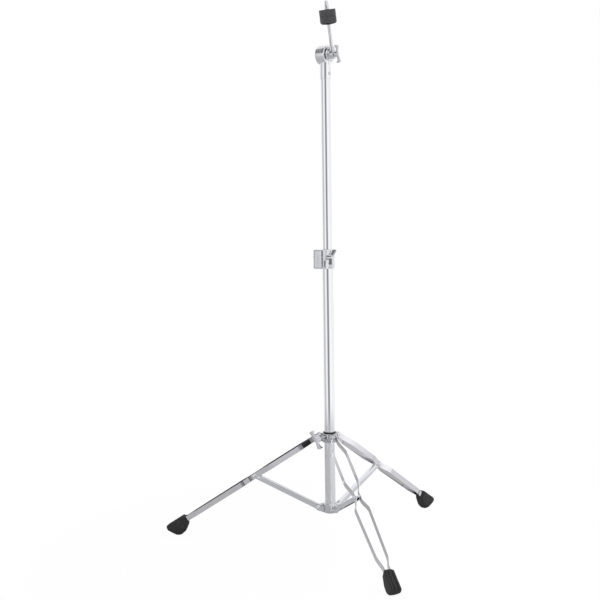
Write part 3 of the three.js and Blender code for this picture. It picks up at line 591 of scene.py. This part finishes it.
# what the mould and handling leave on black nylon and rubber: a fine grain, and paler scuffs in patches
moulding_marks, given, made = marks_group("moulding_marks", [
    ("Grain Scale", "Float"), ("Least Rough", "Float"), ("Most Rough", "Float"), ("Clean", "Color"),
    ("Scuffed", "Color"),
])
grain = noise(moulding_marks, given["Vector"], given["Grain Scale"], detail=4, roughness=0.6)
scuffs = noise(moulding_marks, given["Vector"], scuff_scale, detail=6, roughness=0.65)
patches = ranged(moulding_marks, scuffs, scuff_limits, (0, 1), smooth=True)
feed(moulding_marks, made["Tint"], mixed_colour(moulding_marks, patches, given["Clean"], given["Scuffed"]))
feed(moulding_marks, made["Roughness"],
     ranged(moulding_marks, grain, grain_limits, (given["Least Rough"], given["Most Rough"])))
feed(moulding_marks, made["Height"], grain)


def moulded(name, colour, scuffed, roughness, grain_scale, relief, specular):
    """Black moulded nylon or rubber."""
    material, tree, shader = new_material(name)
    shader.inputs["Specular IOR Level"].default_value = specular
    marked(tree, shader, moulding_marks, relief, grain_depth_m, {
        "Vector": add(tree, "TexCoord").outputs["Object"], "Grain Scale": grain_scale,
        "Least Rough": roughness[0], "Most Rough": roughness[1],
        "Clean": (*colour, 1), "Scuffed": (*scuffed, 1),
    })
    return material


black_nylon = moulded("black_nylon", colour=(0.010, 0.010, 0.011), scuffed=(0.022, 0.022, 0.024),
                      roughness=(0.34, 0.5), grain_scale=900, relief=0.15, specular=0.4)
# painted shade: the collar's plating is given a much darker grey than the tube's, for its darker look
shaded_collar_chrome = plated("shaded_collar_chrome", clean=0.05, smudged=0.12, bright=(0.62, 0.625, 0.64),
                       dull=(0.54, 0.545, 0.56), relief=0.01)
collar_place = Matrix.Translation((axis_x, axis_y, joints["front_leg_hinge"]["pos_m"][2]))
collar_shapes = [ring(collar_bore, collar_outer, collar_low, collar_high, collar_edge)]
for azimuth in leg_azimuths.values():
    lug = ear(collar_bore + lug_overlap, collar_low + ear_setback, collar_high - ear_setback,
              leg_pivot_radius, lug_eye_radius, -lug_half_width, lug_half_width, lug_edge)
    collar_shapes.append(moved(lug, Matrix.Rotation(azimuth, 4, "Z")))
screw_axis = (
    Matrix.Rotation(collar_screw_azimuth, 4, "Z") @ Matrix.Translation((0, 0, collar_high - boss_below_top))
)
collar_boss = ring(boss_bore, boss_radius, collar_bore + lug_overlap, boss_reach, boss_edge, sides=48)
collar_shapes.append(moved(collar_boss, screw_axis @ lay_along_x))
settled("leg_collar", gathered(*collar_shapes), collar_place, shaded_collar_chrome, "collar")
collar_bush = turned(eased(bush_profile, radius=0.5))
settled("collar_bush", collar_bush, collar_place, black_nylon, "collar")
for leg, azimuth in leg_azimuths.items():
    settled(leg + "_leg_pin", headed_pin(leg_pin_half_width), at_joint(leg + "_leg_hinge", azimuth),
            rivet_chrome, "collar")

# Wing screw of the collar: a zinc casting with two swept wings, plated bright, on a threaded steel
# shank whose tip bears on the nylon bush.
running_gap = 0.3
collar_screw_radius = 4
collar_screw_pitch = 1.25
collar_screw_showing = 6
collar_wing_turn = math.radians(54)
wing_hub_share = 0.7
wing_hub_taper = 0.82
wing_edge_share = 0.3
thread_steps = 36
thread_depth_share = 0.6
nut_hole_radius = 3.2


def curve(start, control, end, steps=14):
    start, control, end = Vector(start), Vector(control), Vector(end)
    return [tuple(start.lerp(control, step / steps).lerp(control.lerp(end, step / steps), step / steps))
            for step in range(steps)]


def winged(half_span, rise, hub_radius, gauge, hole_radius=nut_hole_radius, tip_lift=0):
    """Two cast wings and a tapered hub that stand on Z = 0, with the wings spread along X."""
    # root, belly, low tip, bulge, high tip, saddle and hub, as shares of the half span and of the rise
    shares = [(0, 0.1), (0.62, 0.85 - tip_lift), (0.93, 0.12 + tip_lift), (1.08, 0.56 + tip_lift), (0.9, 1),
              (0.45, 0.8), (0, wing_hub_share)]
    points = [(half_span * across, rise * up) for across, up in shares]
    hub_top = rise * wing_hub_share
    right = [point for first in (0, 2, 4) for point in curve(*points[first:first + 3])]
    left = [(-x, y) for x, y in reversed(right[1:])]
    blades = softened(slab([*right, (0, hub_top), *left], -gauge / 2, gauge / 2), gauge * wing_edge_share, 3)
    hub_profile = [(hole_radius, 0), (hub_radius, 0), (hub_radius * wing_hub_taper, hub_top),
                   (hole_radius, hub_top)]
    return gathered(moved(blades, stand_on_edge), turned(eased(hub_profile, radius=0.7), sides=48))


def threaded(radius, pitch, low, high):
    """A screw thread, spun so that it rises by one pitch in each turn, round a plain core."""
    turns = int((high - low) / pitch) - 1
    root = radius - thread_depth_share * pitch
    shape = bmesh.new()
    points = []
    for index in range(turns):
        points.append(shape.verts.new((root, 0, low + index * pitch)))
        points.append(shape.verts.new((radius, 0, low + (index + 0.5) * pitch)))
    edges = [shape.edges.new(pair) for pair in zip(points, points[1:])]
    bmesh.ops.spin(shape, geom=points + edges, cent=(0, 0, 0), axis=(0, 0, 1), angle=2 * math.pi,
                   dvec=(0, 0, pitch / thread_steps), steps=thread_steps, use_merge=False)
    bmesh.ops.remove_doubles(shape, verts=shape.verts, dist=merge_distance)
    bmesh.ops.recalc_face_normals(shape, faces=shape.faces)
    core = turned([(0, low), (radius - 0.2, low), (root + 0.15, low + 0.8), (root + 0.15, high - 1.2),
                   (root + 0.3, high - 0.8), (root - 0.3, high), (0, high)], thread_steps)
    return gathered(shape, core)


def on_bolt(place, reach, turn):
    """A place on a bolt that lies along X, with the wings turned round the bolt."""
    return (place @ Matrix.Translation((reach * mm, 0, 0)) @ lay_along_x
            @ Matrix.Rotation(math.pi / 2 - turn, 4, "Z"))


wing_chrome = plated("wing_chrome", clean=0.07, smudged=0.2, bright=(0.80, 0.80, 0.83),
                     dull=(0.68, 0.68, 0.72), relief=0.05)
screw_place = (
    collar_place @ Matrix.Rotation(collar_screw_azimuth, 4, "Z")
    @ Matrix.Translation((0, 0, (collar_high - boss_below_top) * mm))
)
shank_low = bush_outer + running_gap - boss_reach - collar_screw_showing
shank_profile = [(0, shank_low), (3.4, shank_low), (3.9, shank_low + 1), (3.3, shank_low + 2), (3.3, 1),
                 (0, 1)]
shank_thread = threaded(collar_screw_radius, collar_screw_pitch, shank_low + 1, 2)
collar_wing = winged(half_span=24.5, rise=20, hub_radius=7, gauge=5, hole_radius=0)
collar_wing_place = on_bolt(screw_place, boss_reach + collar_screw_showing, collar_wing_turn)
collar_screw = gathered(collar_wing, turned(shank_profile, sides=36), shank_thread)
settled("collar_wing_screw", collar_screw, collar_wing_place, wing_chrome, "collar_screw")

# Leg strips: each leg is a pair of flat plated bars on edge, pinned to the collar, bowed apart above and
# below the waist and riveted there to the strut. Their inner faces carry painted shade: a darker grey,
# set for each leg.
strip_thickness = 1.8
strip_half_depth = 6.5
strip_middle = 6.5
strip_corner = 0.45
strip_bend_length = 7
strip_bend_steps = 8
strip_grey = 0.9
strip_dull_grey = 0.83
# painted shade: the strips' inner faces get a darker grey for each leg, darkest on the left leg
shaded_inside_greys = {"front": 0.8, "right": 0.6, "left": 0.5}
shaded_inside_dull_share = 0.85
strip_blue = 1.02
leg_slope = math.radians(33.25)
leg_to_waist = 196
leg_to_foot_mouth = 411
strip_reach_in_foot = 32
strip_rounding = [0.04, 0.3, 0.8, 1.6, 2.6, 3.8, 5.2, strip_half_depth]
waist_rivet_seat = 0.1
waist_stub = (5.6, 8)
strip_corners = [
    (-strip_half_depth, strip_middle), (20, strip_middle), (52, 17), (153, 17), (184, strip_middle),
    (208, strip_middle), (232, 17), (377, 13.5), (402, strip_middle),
    (leg_to_foot_mouth + strip_reach_in_foot, strip_middle),
]


def bent_line(corners, bend_length, steps):
    """The middle line of a bar bent at a row of corners, each bend eased."""
    line = [Vector(corners[0])]
    for before, corner, after in zip(corners, corners[1:], corners[2:]):
        before, corner, after = Vector(before), Vector(corner), Vector(after)
        start = corner + (before - corner).normalized() * bend_length
        end = corner + (after - corner).normalized() * bend_length
        for step in range(steps + 1):
            share = step / steps
            line.append(start.lerp(corner, share).lerp(corner.lerp(end, share), share))
    line.append(Vector(corners[-1]))
    return line


def leg_strip(hand):
    """One flat bar swept along its bent line, with a round end at the collar."""
    line = bent_line(strip_corners, strip_bend_length, strip_bend_steps)
    first = line.pop(0)
    line = [first + Vector((reach, 0)) for reach in strip_rounding] + line
    sections = []
    for index, point in enumerate(line):
        along = (line[min(index + 1, len(line) - 1)] - line[max(index - 1, 0)]).normalized()
        across = Vector((-along.y, along.x))
        from_end = min(point.x - first.x, strip_half_depth)
        half = math.sqrt(strip_half_depth ** 2 - (strip_half_depth - from_end) ** 2)
        corner = min(strip_corner, half * 0.5)
        thick = strip_thickness / 2
        profile = [(-thick, -half + corner), (-thick + corner, -half), (thick - corner, -half),
                   (thick, -half + corner), (thick, half - corner), (thick - corner, half),
                   (-thick + corner, half), (-thick, half - corner)]
        sections.append([
            (point.x + across.x * out, (point.y + across.y * out) * hand, height) for out, height in profile
        ])
    strip = lofted(sections)
    # the faces that look at the other strip take the second material, which carries the painted shade
    for face in strip.faces:
        if face.normal.y * hand < -0.5:
            face.material_index = 1
    return strip


def strip_metal(name, angles, bright, dull):
    return plated(name, clean=0.035, smudged=0.09, bright=(bright, bright, bright * strip_blue),
                  dull=(dull, dull, dull * strip_blue), stretch=(20, 1, 1), angles=angles)


leg_places = {}
for leg, azimuth in leg_azimuths.items():
    leg_places[leg] = at_joint(leg + "_leg_hinge", azimuth) @ Matrix.Rotation(leg_slope, 4, "Y")
    angles = (0, leg_slope, azimuth)
    metal = strip_metal(leg + "_strip_chrome", angles, strip_grey, strip_dull_grey)
    # painted shade on the inner faces, darker than the outer plating of the same strip
    grey = shaded_inside_greys[leg]
    shaded_inside_metal = strip_metal(leg + "_strip_inside_shaded_chrome", angles, grey, grey * shaded_inside_dull_share)
    for side, hand in (("left", 1), ("right", -1)):
        strip = settled(f"{leg}_leg_{side}_strip", leg_strip(hand), leg_places[leg], metal, leg + "_leg")
        strip.data.materials.append(shaded_inside_metal)
        head = domed_head(strip_middle + strip_thickness / 2 + waist_rivet_seat, rivet_head_radius)
        stub = ring(0, pin_radius, *waist_stub, sides=pin_sides)
        rivet = moved(gathered(head, stub), Matrix.Rotation(-hand * math.pi / 2, 4, "X"))
        moved(rivet, Matrix.Translation((leg_to_waist, 0, 0)))
        settled(f"{leg}_waist_{side}_rivet", rivet, leg_places[leg], rivet_chrome, leg + "_leg")

# Rubber feet: moulded black boots pushed onto the ends of the strips. Two grooves run down each front
# and round the nose, and the sole is small and flat.
foot_rise = 12.6
foot_shoulder_drop = 12.8
foot_edge = 4
foot_corner = 5
foot_low_corner = 10
foot_mouth_half_width = 12.2
foot_toe_half_width = 12.4
foot_length = 60
foot_neck = 3.5
foot_nose_start = 48
foot_groove_middle = 4.5
foot_groove_half_width = 1.1
foot_groove_depth = 1.5
foot_nose_groove_depth = 2.4
foot_groove_shape = [(1.5, 0), (0.9, 0.35), (0.45, 1), (-0.45, 1), (-0.9, 0.35), (-1.5, 0)]
underside = [
    (foot_neck, -foot_shoulder_drop), (23, -25),
    *curve((23, -25), (37.8, -27.9), (41.16, -25.69), 6)[1:], (41.16, -25.69), (47.84, -21.31),
    *curve((47.84, -21.31), (58.5, -6), (foot_length, 0), 12)[1:], (foot_length, 0),
]
upside = [(foot_neck, foot_rise), (54, foot_rise),
          *curve((54, foot_rise), (foot_length, foot_rise), (foot_length, 2), 12)[1:], (foot_length, 2)]


def height_at(line, along):
    for (x0, z0), (x1, z1) in zip(line, line[1:]):
        if x0 <= along <= x1:
            return z0 + (z1 - z0) * (along - x0) / (x1 - x0)
    return line[-1][1]


def foot_section(along):
    """The boot's outline square to the leg at one station."""
    from_nose = max(0, along - foot_length + foot_edge)
    from_mouth = max(0, foot_neck + foot_edge - along)
    inset = foot_edge - math.sqrt(foot_edge ** 2 - max(from_nose, from_mouth) ** 2)
    mouth_inset = foot_edge - math.sqrt(foot_edge ** 2 - from_mouth ** 2)
    half = foot_mouth_half_width + (foot_toe_half_width - foot_mouth_half_width) * along / foot_length - inset
    top = height_at(upside, along) - mouth_inset
    low = height_at(underside, along) + mouth_inset
    corner = min(foot_corner - inset * 0.5, (top - low) * 0.42, half * 0.6)
    low_corner = min(foot_low_corner - inset * 0.5, (top - low) * 0.5, half * 0.8)
    into_nose = min(1, max(0, (along - foot_nose_start) / (foot_length - foot_nose_start)))
    depth = foot_groove_depth + (foot_nose_groove_depth - foot_groove_depth) * into_nose
    depth = min(depth, (top - low) * 0.3)
    centre = min(foot_groove_middle, half * 0.42)
    grooves = [(middle + foot_groove_half_width * across, top - depth * down)
               for middle in (centre, -centre) for across, down in foot_groove_shape]
    outline = [
        *arc(half - low_corner, low + low_corner, low_corner, -90, 0, 7),
        *arc(half - corner, top - corner, corner, 0, 90, 5),
        *grooves,
        *arc(-half + corner, top - corner, corner, 90, 180, 5),
        *arc(-half + low_corner, low + low_corner, low_corner, 180, 270, 7),
    ]
    return [(along, y, z) for y, z in outline]


foot_stations = [
    3.6, 4.0, 4.6, 5.4, 6.4, 7.4, 8.5, 12, 16, 20, 23, 26, 30, 34, 37, 41.16, 44, 47.84, 49, 50.5, 52, 54,
    55.5, 57, 58, 58.8, 59.3, 59.65, 59.88,
]
foot_plug_outline = eased(oblong(left=-8, low=-8.9, right=8, high=8.9), radius=2.5, steps=6)
black_rubber = moulded("black_rubber", colour=(0.02, 0.02, 0.021), scuffed=(0.045, 0.045, 0.047),
                       roughness=(0.5, 0.7), grain_scale=1400, relief=0.3, specular=0.45)
for leg in leg_azimuths:
    boot = lofted([foot_section(along) for along in foot_stations])
    foot_plug = moved(softened(slab(foot_plug_outline, low=0, high=8.5), width=0.8, segments=3), lay_along_x)
    foot = moved(gathered(boot, foot_plug), Matrix.Translation((leg_to_foot_mouth, 0, 0)))
    settled(leg + "_rubber_foot", foot, leg_places[leg], black_rubber, leg + "_leg")

# Height clamp: a split, plated casting round the mouth of the base tube. Its two ears close on a bolt;
# the long ear is a ribbed block that hides the bolt's head, and the short one, recessed in front,
# carries the wing nut.
clamp_height = 46
clamp_bore = 13.0
clamp_outer = 16.5
clamp_front = 28
clamp_block_reach = 26
clamp_block_corner = 6
clamp_block_round = 3.5
clamp_ear_reach = 10.5
clamp_ear_corner = 3
clamp_slit_half = 1.5
clamp_bolt_offset = 20
clamp_bolt_height = 28
clamp_azimuth = math.radians(-47.3)
rib_gap_middles = [-5, -8.75, -12.5, -16.25, -20]
rib_gap_shape = [(0.9, -1), (0.45, 1.1), (-0.45, 1.1), (-0.9, -1)]
ear_recess_depth = 5
ear_recess_outline = [(4.6, 4), (8.6, 4), *arc(x=6.6, y=19, radius=2, start_deg=0, end_deg=180, steps=10)]
bolt_hole_radius = 3.3
cutter_reach = 40
outline_margin = 0.1


def carved(body, tool):
    """Cuts one shape out of another, as a core does in a casting."""
    pair = []
    for shape in (body, tool):
        mesh = bpy.data.meshes.new("carving")
        shape.to_mesh(mesh)
        shape.free()
        carving = bpy.data.objects.new("carving", mesh)
        scene.collection.objects.link(carving)
        pair.append(carving)
    cut = pair[0].modifiers.new("cut", "BOOLEAN")
    cut.operation = "DIFFERENCE"
    cut.solver = "EXACT"
    cut.object = pair[1]
    bpy.context.view_layer.update()
    result = bmesh.new()
    result.from_object(pair[0], bpy.context.evaluated_depsgraph_get())
    for carving in pair:
        bpy.data.meshes.remove(carving.data)
    return result


def on_block(vert):
    """Whether a point of the clamp's outline lies on the long ear, off the ring."""
    x, y, _ = vert.co
    return x < 0 and math.hypot(x, y) > clamp_outer + outline_margin and (
        y < clamp_block_corner - clamp_front + outline_margin or x < block_x + outline_margin)


meeting_angle = math.degrees(math.acos(clamp_ear_reach / clamp_outer))
slit_angle = math.degrees(math.asin(clamp_slit_half / clamp_bore))
block_x = -clamp_block_reach + clamp_block_corner
ear_x = clamp_ear_reach - clamp_ear_corner
clamp_plan = [
    (-clamp_slit_half, -clamp_front),
    *arc(block_x, -clamp_front + clamp_block_corner, clamp_block_corner, 270, 180, 8),
    *arc(block_x, -clamp_block_corner, clamp_block_corner, 180, 96, 8),
    *arc(0, 0, clamp_outer, 176, -meeting_angle, 48),
    *arc(ear_x, -clamp_front + clamp_ear_corner, clamp_ear_corner, 0, -90, 8),
    (clamp_slit_half, -clamp_front),
    *arc(0, 0, clamp_bore, -90 + slit_angle, 270 - slit_angle, 72),
]
clamp_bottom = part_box("height_clamp")[0].z
clamp_place = Matrix.Translation((axis_x, axis_y, clamp_bottom)) @ Matrix.Rotation(clamp_azimuth, 4, "Z")
clamp_shape = slab(clamp_plan, 0, clamp_height)
block_edges = [
    edge for edge in clamp_shape.edges
    if abs(edge.verts[0].co.z - edge.verts[1].co.z) < 0.01 and all(on_block(vert) for vert in edge.verts)
]
bevelled(clamp_shape, block_edges, clamp_block_round, segments=6, clamp_overlap=False)
softened(clamp_shape, width=0.5, segments=3)
rib_gaps = gathered(*(
    slab([(middle + across, depth - clamp_front) for across, depth in rib_gap_shape], -1, clamp_height + 1)
    for middle in rib_gap_middles
))
recess_place = Matrix.Translation((0, ear_recess_depth - clamp_front, 0)) @ stand_on_edge
recess = moved(slab(ear_recess_outline, 0, 2 * ear_recess_depth), recess_place)
bolt_middle = Matrix.Translation((0, -clamp_bolt_offset, clamp_bolt_height)) @ lay_along_x
bolt_hole = moved(ring(0, bolt_hole_radius, -cutter_reach, cutter_reach, sides=32), bolt_middle)
head_pocket = moved(ring(inner=0, outer=5.8, low=-cutter_reach, high=-21.7, sides=48), bolt_middle)
for tool in (recess, bolt_hole, head_pocket, rib_gaps):
    clamp_shape = carved(clamp_shape, tool)
settled("height_clamp", clamp_shape, clamp_place, shaded_cast_chrome, "base")

# Clamp bush: a black nylon sleeve that sits on the base tube's end inside the clamp and guides the
# upper tube. Only its rim shows, just below the mouth of the clamp.
clamp_bush = ring(inner=11.4, outer=12.7, low=30.3, high=45.4, edge=0.4)
settled("clamp_bush", clamp_bush, clamp_place, black_nylon, "base")

# Clamp bolt and wing nut: a round-headed steel bolt through both ears, and a cast wing nut that draws
# them together. The bolt's thread stands a little out of it.
bolt_radius = 3
bolt_pitch = 1
bolt_shank_radius = 2.9
clamp_head_seat = -22
clamp_head_profile = [
    (0, -clamp_block_reach), (2, -clamp_block_reach), (5.5, -clamp_block_reach), (5.5, clamp_head_seat),
    (0, clamp_head_seat),
]
clamp_bolt_end = 24.5
clamp_wing_turn = math.radians(-56)
bolt_place = clamp_place @ Matrix.Translation((0, -clamp_bolt_offset * mm, clamp_bolt_height * mm))
clamp_bolt = gathered(
    turned(eased(clamp_head_profile, radius=0.6), sides=48),
    ring(0, bolt_shank_radius, low=clamp_head_seat, high=12, sides=32),
    threaded(bolt_radius, bolt_pitch, low=11, high=clamp_bolt_end),
)
settled("clamp_bolt", moved(clamp_bolt, lay_along_x), bolt_place, rivet_chrome, "base")
clamp_nut_place = on_bolt(bolt_place, clamp_ear_reach + running_gap, clamp_wing_turn)
clamp_nut = winged(half_span=21, rise=19, hub_radius=6.5, gauge=4.5, tip_lift=0.3)
settled("clamp_wing_nut", clamp_nut, clamp_nut_place, wing_chrome, "clamp_nut")

# Upper tube: a slimmer length of the same tube, which slides and turns in the base tube.
# A black nylon plug in its foot keeps it central.
upper_tube_radius = 11.1
plug_profile = [(0, -9.3), (11.2, -9.3), (11.2, -0.3), (9.6, -0.3), (9.6, 22), (0, 22)]
tube("upper_tube", upper_tube_radius, "mast")
plug_place = Matrix.Translation((axis_x, axis_y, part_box("upper_tube")[0].z))
guide_plug = turned(eased(plug_profile, radius=0.8))
settled("guide_plug", guide_plug, plug_place, black_nylon, "guide")

# Tilter body: a plated casting whose neck is a sleeve over the upper tube's end. The drum across it
# has three turned grooves and, on the arm's side, a deep round recess.
tilter_azimuth = math.radians(-54.3)
drum_radius = 22.5
drum_low = -14.5
drum_high = 10.7
drum_edge = 1.5
recess_radius = 18
recess_depth = 7
recess_edge = 0.5
groove_middles = [-6.5, -1.9, 2.7]
groove_shape = [(-0.9, 0), (-0.75, 0.15), (-0.5, 0.9), (0.5, 0.9), (0.75, 0.15), (0.9, 0)]

tilter_place = at_joint("cymbal_tilt", tilter_azimuth)
neck_low = (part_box("tilter_body")[0].z - joints["cymbal_tilt"]["pos_m"][2]) / mm
drum_profile = [*arc(drum_radius - drum_edge, drum_low + drum_edge, drum_edge, -90, 0, 5)]
for middle in groove_middles:
    drum_profile += [(drum_radius - depth, middle + across) for across, depth in groove_shape]
drum_profile += [
    *arc(drum_radius - drum_edge, drum_high - drum_edge, drum_edge, 0, 90, 5),
    (recess_radius + recess_edge, drum_high), (recess_radius, drum_high - recess_edge),
    (recess_radius, drum_high - recess_depth), (0, drum_high - recess_depth), (0, drum_low),
]
drum = moved(turned(drum_profile, sides=128), lay_along_x)
neck = ring(inner=11.4, outer=12.6, low=neck_low, high=-12, edge=0.5)
tilter_chrome = plated("tilter_chrome", clean=0.04, smudged=0.13, bright=(0.93, 0.935, 0.95),
                       dull=(0.87, 0.875, 0.895), relief=0.03)
settled("tilter_body", gathered(drum, neck), tilter_place, tilter_chrome, "mast")

# Neck screw: a small slotted steel screw with a round head, on the side of the tilter's arm. It holds
# the neck of the tilter to the upper tube.
screw_over_neck_foot = 13
screw_shape = gathered(
    ring(inner=0, outer=2.5, low=11.4, high=13, sides=32),
    ring(inner=0, outer=3.75, low=12.9, high=14.5, edge=0.7, sides=48),
)
screw_slot = slab(oblong(left=-5, low=-0.5, right=5, high=0.5), low=13.8, high=16)
neck_screw = moved(carved(screw_shape, screw_slot), lay_along_x)
neck_screw_place = tilter_place @ Matrix.Translation((0, 0, (neck_low + screw_over_neck_foot) * mm))
settled("neck_screw", neck_screw, neck_screw_place, rivet_chrome, "mast")

# Tilter arm: a plated casting that turns on the tilter's bolt. Its round disc lies in the drum's
# recess, its hub stands beside the drum, and the cymbal rod is screwed into its boss.
arm_disc_profile = [(3.3, 5.5), (15.5, 5.5), (15.5, 12.7), (14, 14.5), (3.3, 14.5)]
arm_hub_low = 14.2
arm_hub_radius = 11
arm_boss_radius = 6.75
rod_tilt = math.radians(11)
arm_hub_high = arm_hub_low + 2 * arm_boss_radius
rod_offset = arm_hub_low + arm_boss_radius
arm_place = tilter_place @ Matrix.Rotation(rod_tilt, 4, "X")
arm_disc = turned(eased(arm_disc_profile, radius=0.6), sides=96)
arm_hub = ring(bolt_hole_radius, arm_hub_radius, arm_hub_low, arm_hub_high, edge=1.0, sides=72)
arm_boss = ring(inner=4.2, outer=arm_boss_radius, low=2, high=17, edge=0.7, sides=48)
arm = gathered(moved(arm_disc, lay_along_x), moved(arm_hub, lay_along_x),
               moved(arm_boss, Matrix.Translation((rod_offset, 0, 0))))
settled("tilter_arm", arm, arm_place, shaded_cast_chrome, "cymbal_seat")

# Tilter bolt and wing nut: a broad-headed steel bolt through drum and arm, with its head on the drum's
# plain face. On the arm's side a cast nut with flatter wings draws the two together.
tilter_head_seat = -14.8
tilter_head_profile = [(0, -18.3), (5, -18.3), (7, -17.4), (7, tilter_head_seat), (0, tilter_head_seat)]
tilter_bolt_end = 39
tilter_wing_turn = math.radians(76)
tilter_bolt = gathered(
    turned(eased(tilter_head_profile, radius=0.8), sides=64),
    ring(0, bolt_shank_radius, low=tilter_head_seat, high=28, sides=32),
    threaded(bolt_radius, bolt_pitch, low=27, high=tilter_bolt_end),
)
settled("tilter_bolt", moved(tilter_bolt, lay_along_x), tilter_place, rivet_chrome, "mast")
tilter_nut_place = on_bolt(tilter_place, arm_hub_high + running_gap, tilter_wing_turn)
tilter_nut = winged(half_span=21, rise=13.5, hub_radius=6.5, gauge=4.5)
settled("tilter_wing_nut", tilter_nut, tilter_nut_place, wing_chrome, "tilter_nut")

# Cymbal rod: a plated steel rod that stands in the boss of the arm. It is turned down above its shoulder
# and threaded there for the top nut.
rod_shoulder = 69
rod_steel = plated("rod_steel", clean=0.1, smudged=0.2, bright=(0.80, 0.80, 0.82), dull=(0.70, 0.70, 0.72),
                   stretch=(1, 1, 8), relief=0.03)
rod_place = arm_place @ Matrix.Translation((rod_offset * mm, 0, 0))
rod = gathered(
    ring(inner=0, outer=4, low=6, high=rod_shoulder, edge=0.3, sides=48),
    ring(inner=0, outer=2.4, low=rod_shoulder - 1, high=92, sides=36),
    threaded(bolt_radius, bolt_pitch, low=90, high=121),
)
settled("cymbal_rod", rod, rod_place, rod_steel, "cymbal_seat")

# Cup washer and sleeve: a dished black washer on the rod's shoulder, and a nylon sleeve
# that keeps the cymbal off the thread inside the felts.
washer_bore = 3.3
washer_height = 3.2
washer_profile = [(washer_bore, 0), (8, 0), (17, 1.6), (17, washer_height), (washer_bore, washer_height)]
felt_height = 15.3
sleeve_radius = 4.6
washer_low = rod_shoulder + running_gap
washer_high = washer_low + washer_height
seat_washer = turned(eased([(across, washer_low + up) for across, up in washer_profile], radius=0.4))
settled("seat_washer", seat_washer, rod_place, black_nylon, "cymbal_seat")
felt_low = washer_high + running_gap
stack_top = felt_low + 2 * felt_height + running_gap
sleeve = ring(washer_bore, sleeve_radius, felt_low, stack_top, edge=0.3, sides=48)
settled("cymbal_sleeve", sleeve, rod_place, black_nylon, "cymbal_seat")

# Felts: two thick rings cut from dark grey pressed wool. Their walls are slightly fuzzy and their
# edges round off with use.
felt_bore = 4.9
felt_radius = 19.5
felt_edge_round = 1.1
fibre_scale = 1100
clump_scale = 160
fibre_share = 0.6
clump_share = 0.4
clump_limits = (0.3, 0.7)
wool_limits = (0.36, 0.64)
felt_roughness = (0.86, 1.0)
felt_dark = (0.042, 0.042, 0.046)
felt_pale = (0.105, 0.102, 0.108)
grey_felt, tree, shader = new_material("grey_felt")
shader.inputs["Sheen Weight"].default_value = 0.15
shader.inputs["Sheen Roughness"].default_value = 0.6
shader.inputs["Specular IOR Level"].default_value = 0.1
place = add(tree, "TexCoord").outputs["Object"]
fibres = noise(tree, place, fibre_scale, detail=6, roughness=0.7)
clumps = noise(tree, place, clump_scale, detail=4, roughness=0.6)
wool = reckon(tree, "MULTIPLY_ADD", fibres, fibre_share, reckon(tree, "MULTIPLY", clumps, clump_share))
feed(tree, shader.inputs["Base Color"],
     mixed_colour(tree, ranged(tree, wool, wool_limits, (0, 1)), (*felt_dark, 1), (*felt_pale, 1)))
feed(tree, shader.inputs["Roughness"], ranged(tree, clumps, clump_limits, felt_roughness))
relieve(tree, shader, wool, strength=0.8, depth_m=0.0008)
for name, low in (("lower_felt", felt_low), ("upper_felt", felt_low + felt_height + running_gap)):
    felt = ring(felt_bore, felt_radius, low, low + felt_height, felt_edge_round, steps=6)
    settled(name, felt, rod_place, grey_felt, "cymbal_seat")

# Top wing nut: a slim plated casting with two upright wings. It turns on the rod's thread and closes
# the stack over the upper felt.
top_wing_turn = math.radians(114)
top_nut_place = (
    rod_place @ Matrix.Translation((0, 0, (stack_top + running_gap) * mm))
    @ Matrix.Rotation(top_wing_turn, 4, "Z")
)
top_nut = winged(half_span=13.5, rise=21, hub_radius=5.5, gauge=3)
settled("top_wing_nut", top_nut, top_nut_place, wing_chrome, "top_nut")
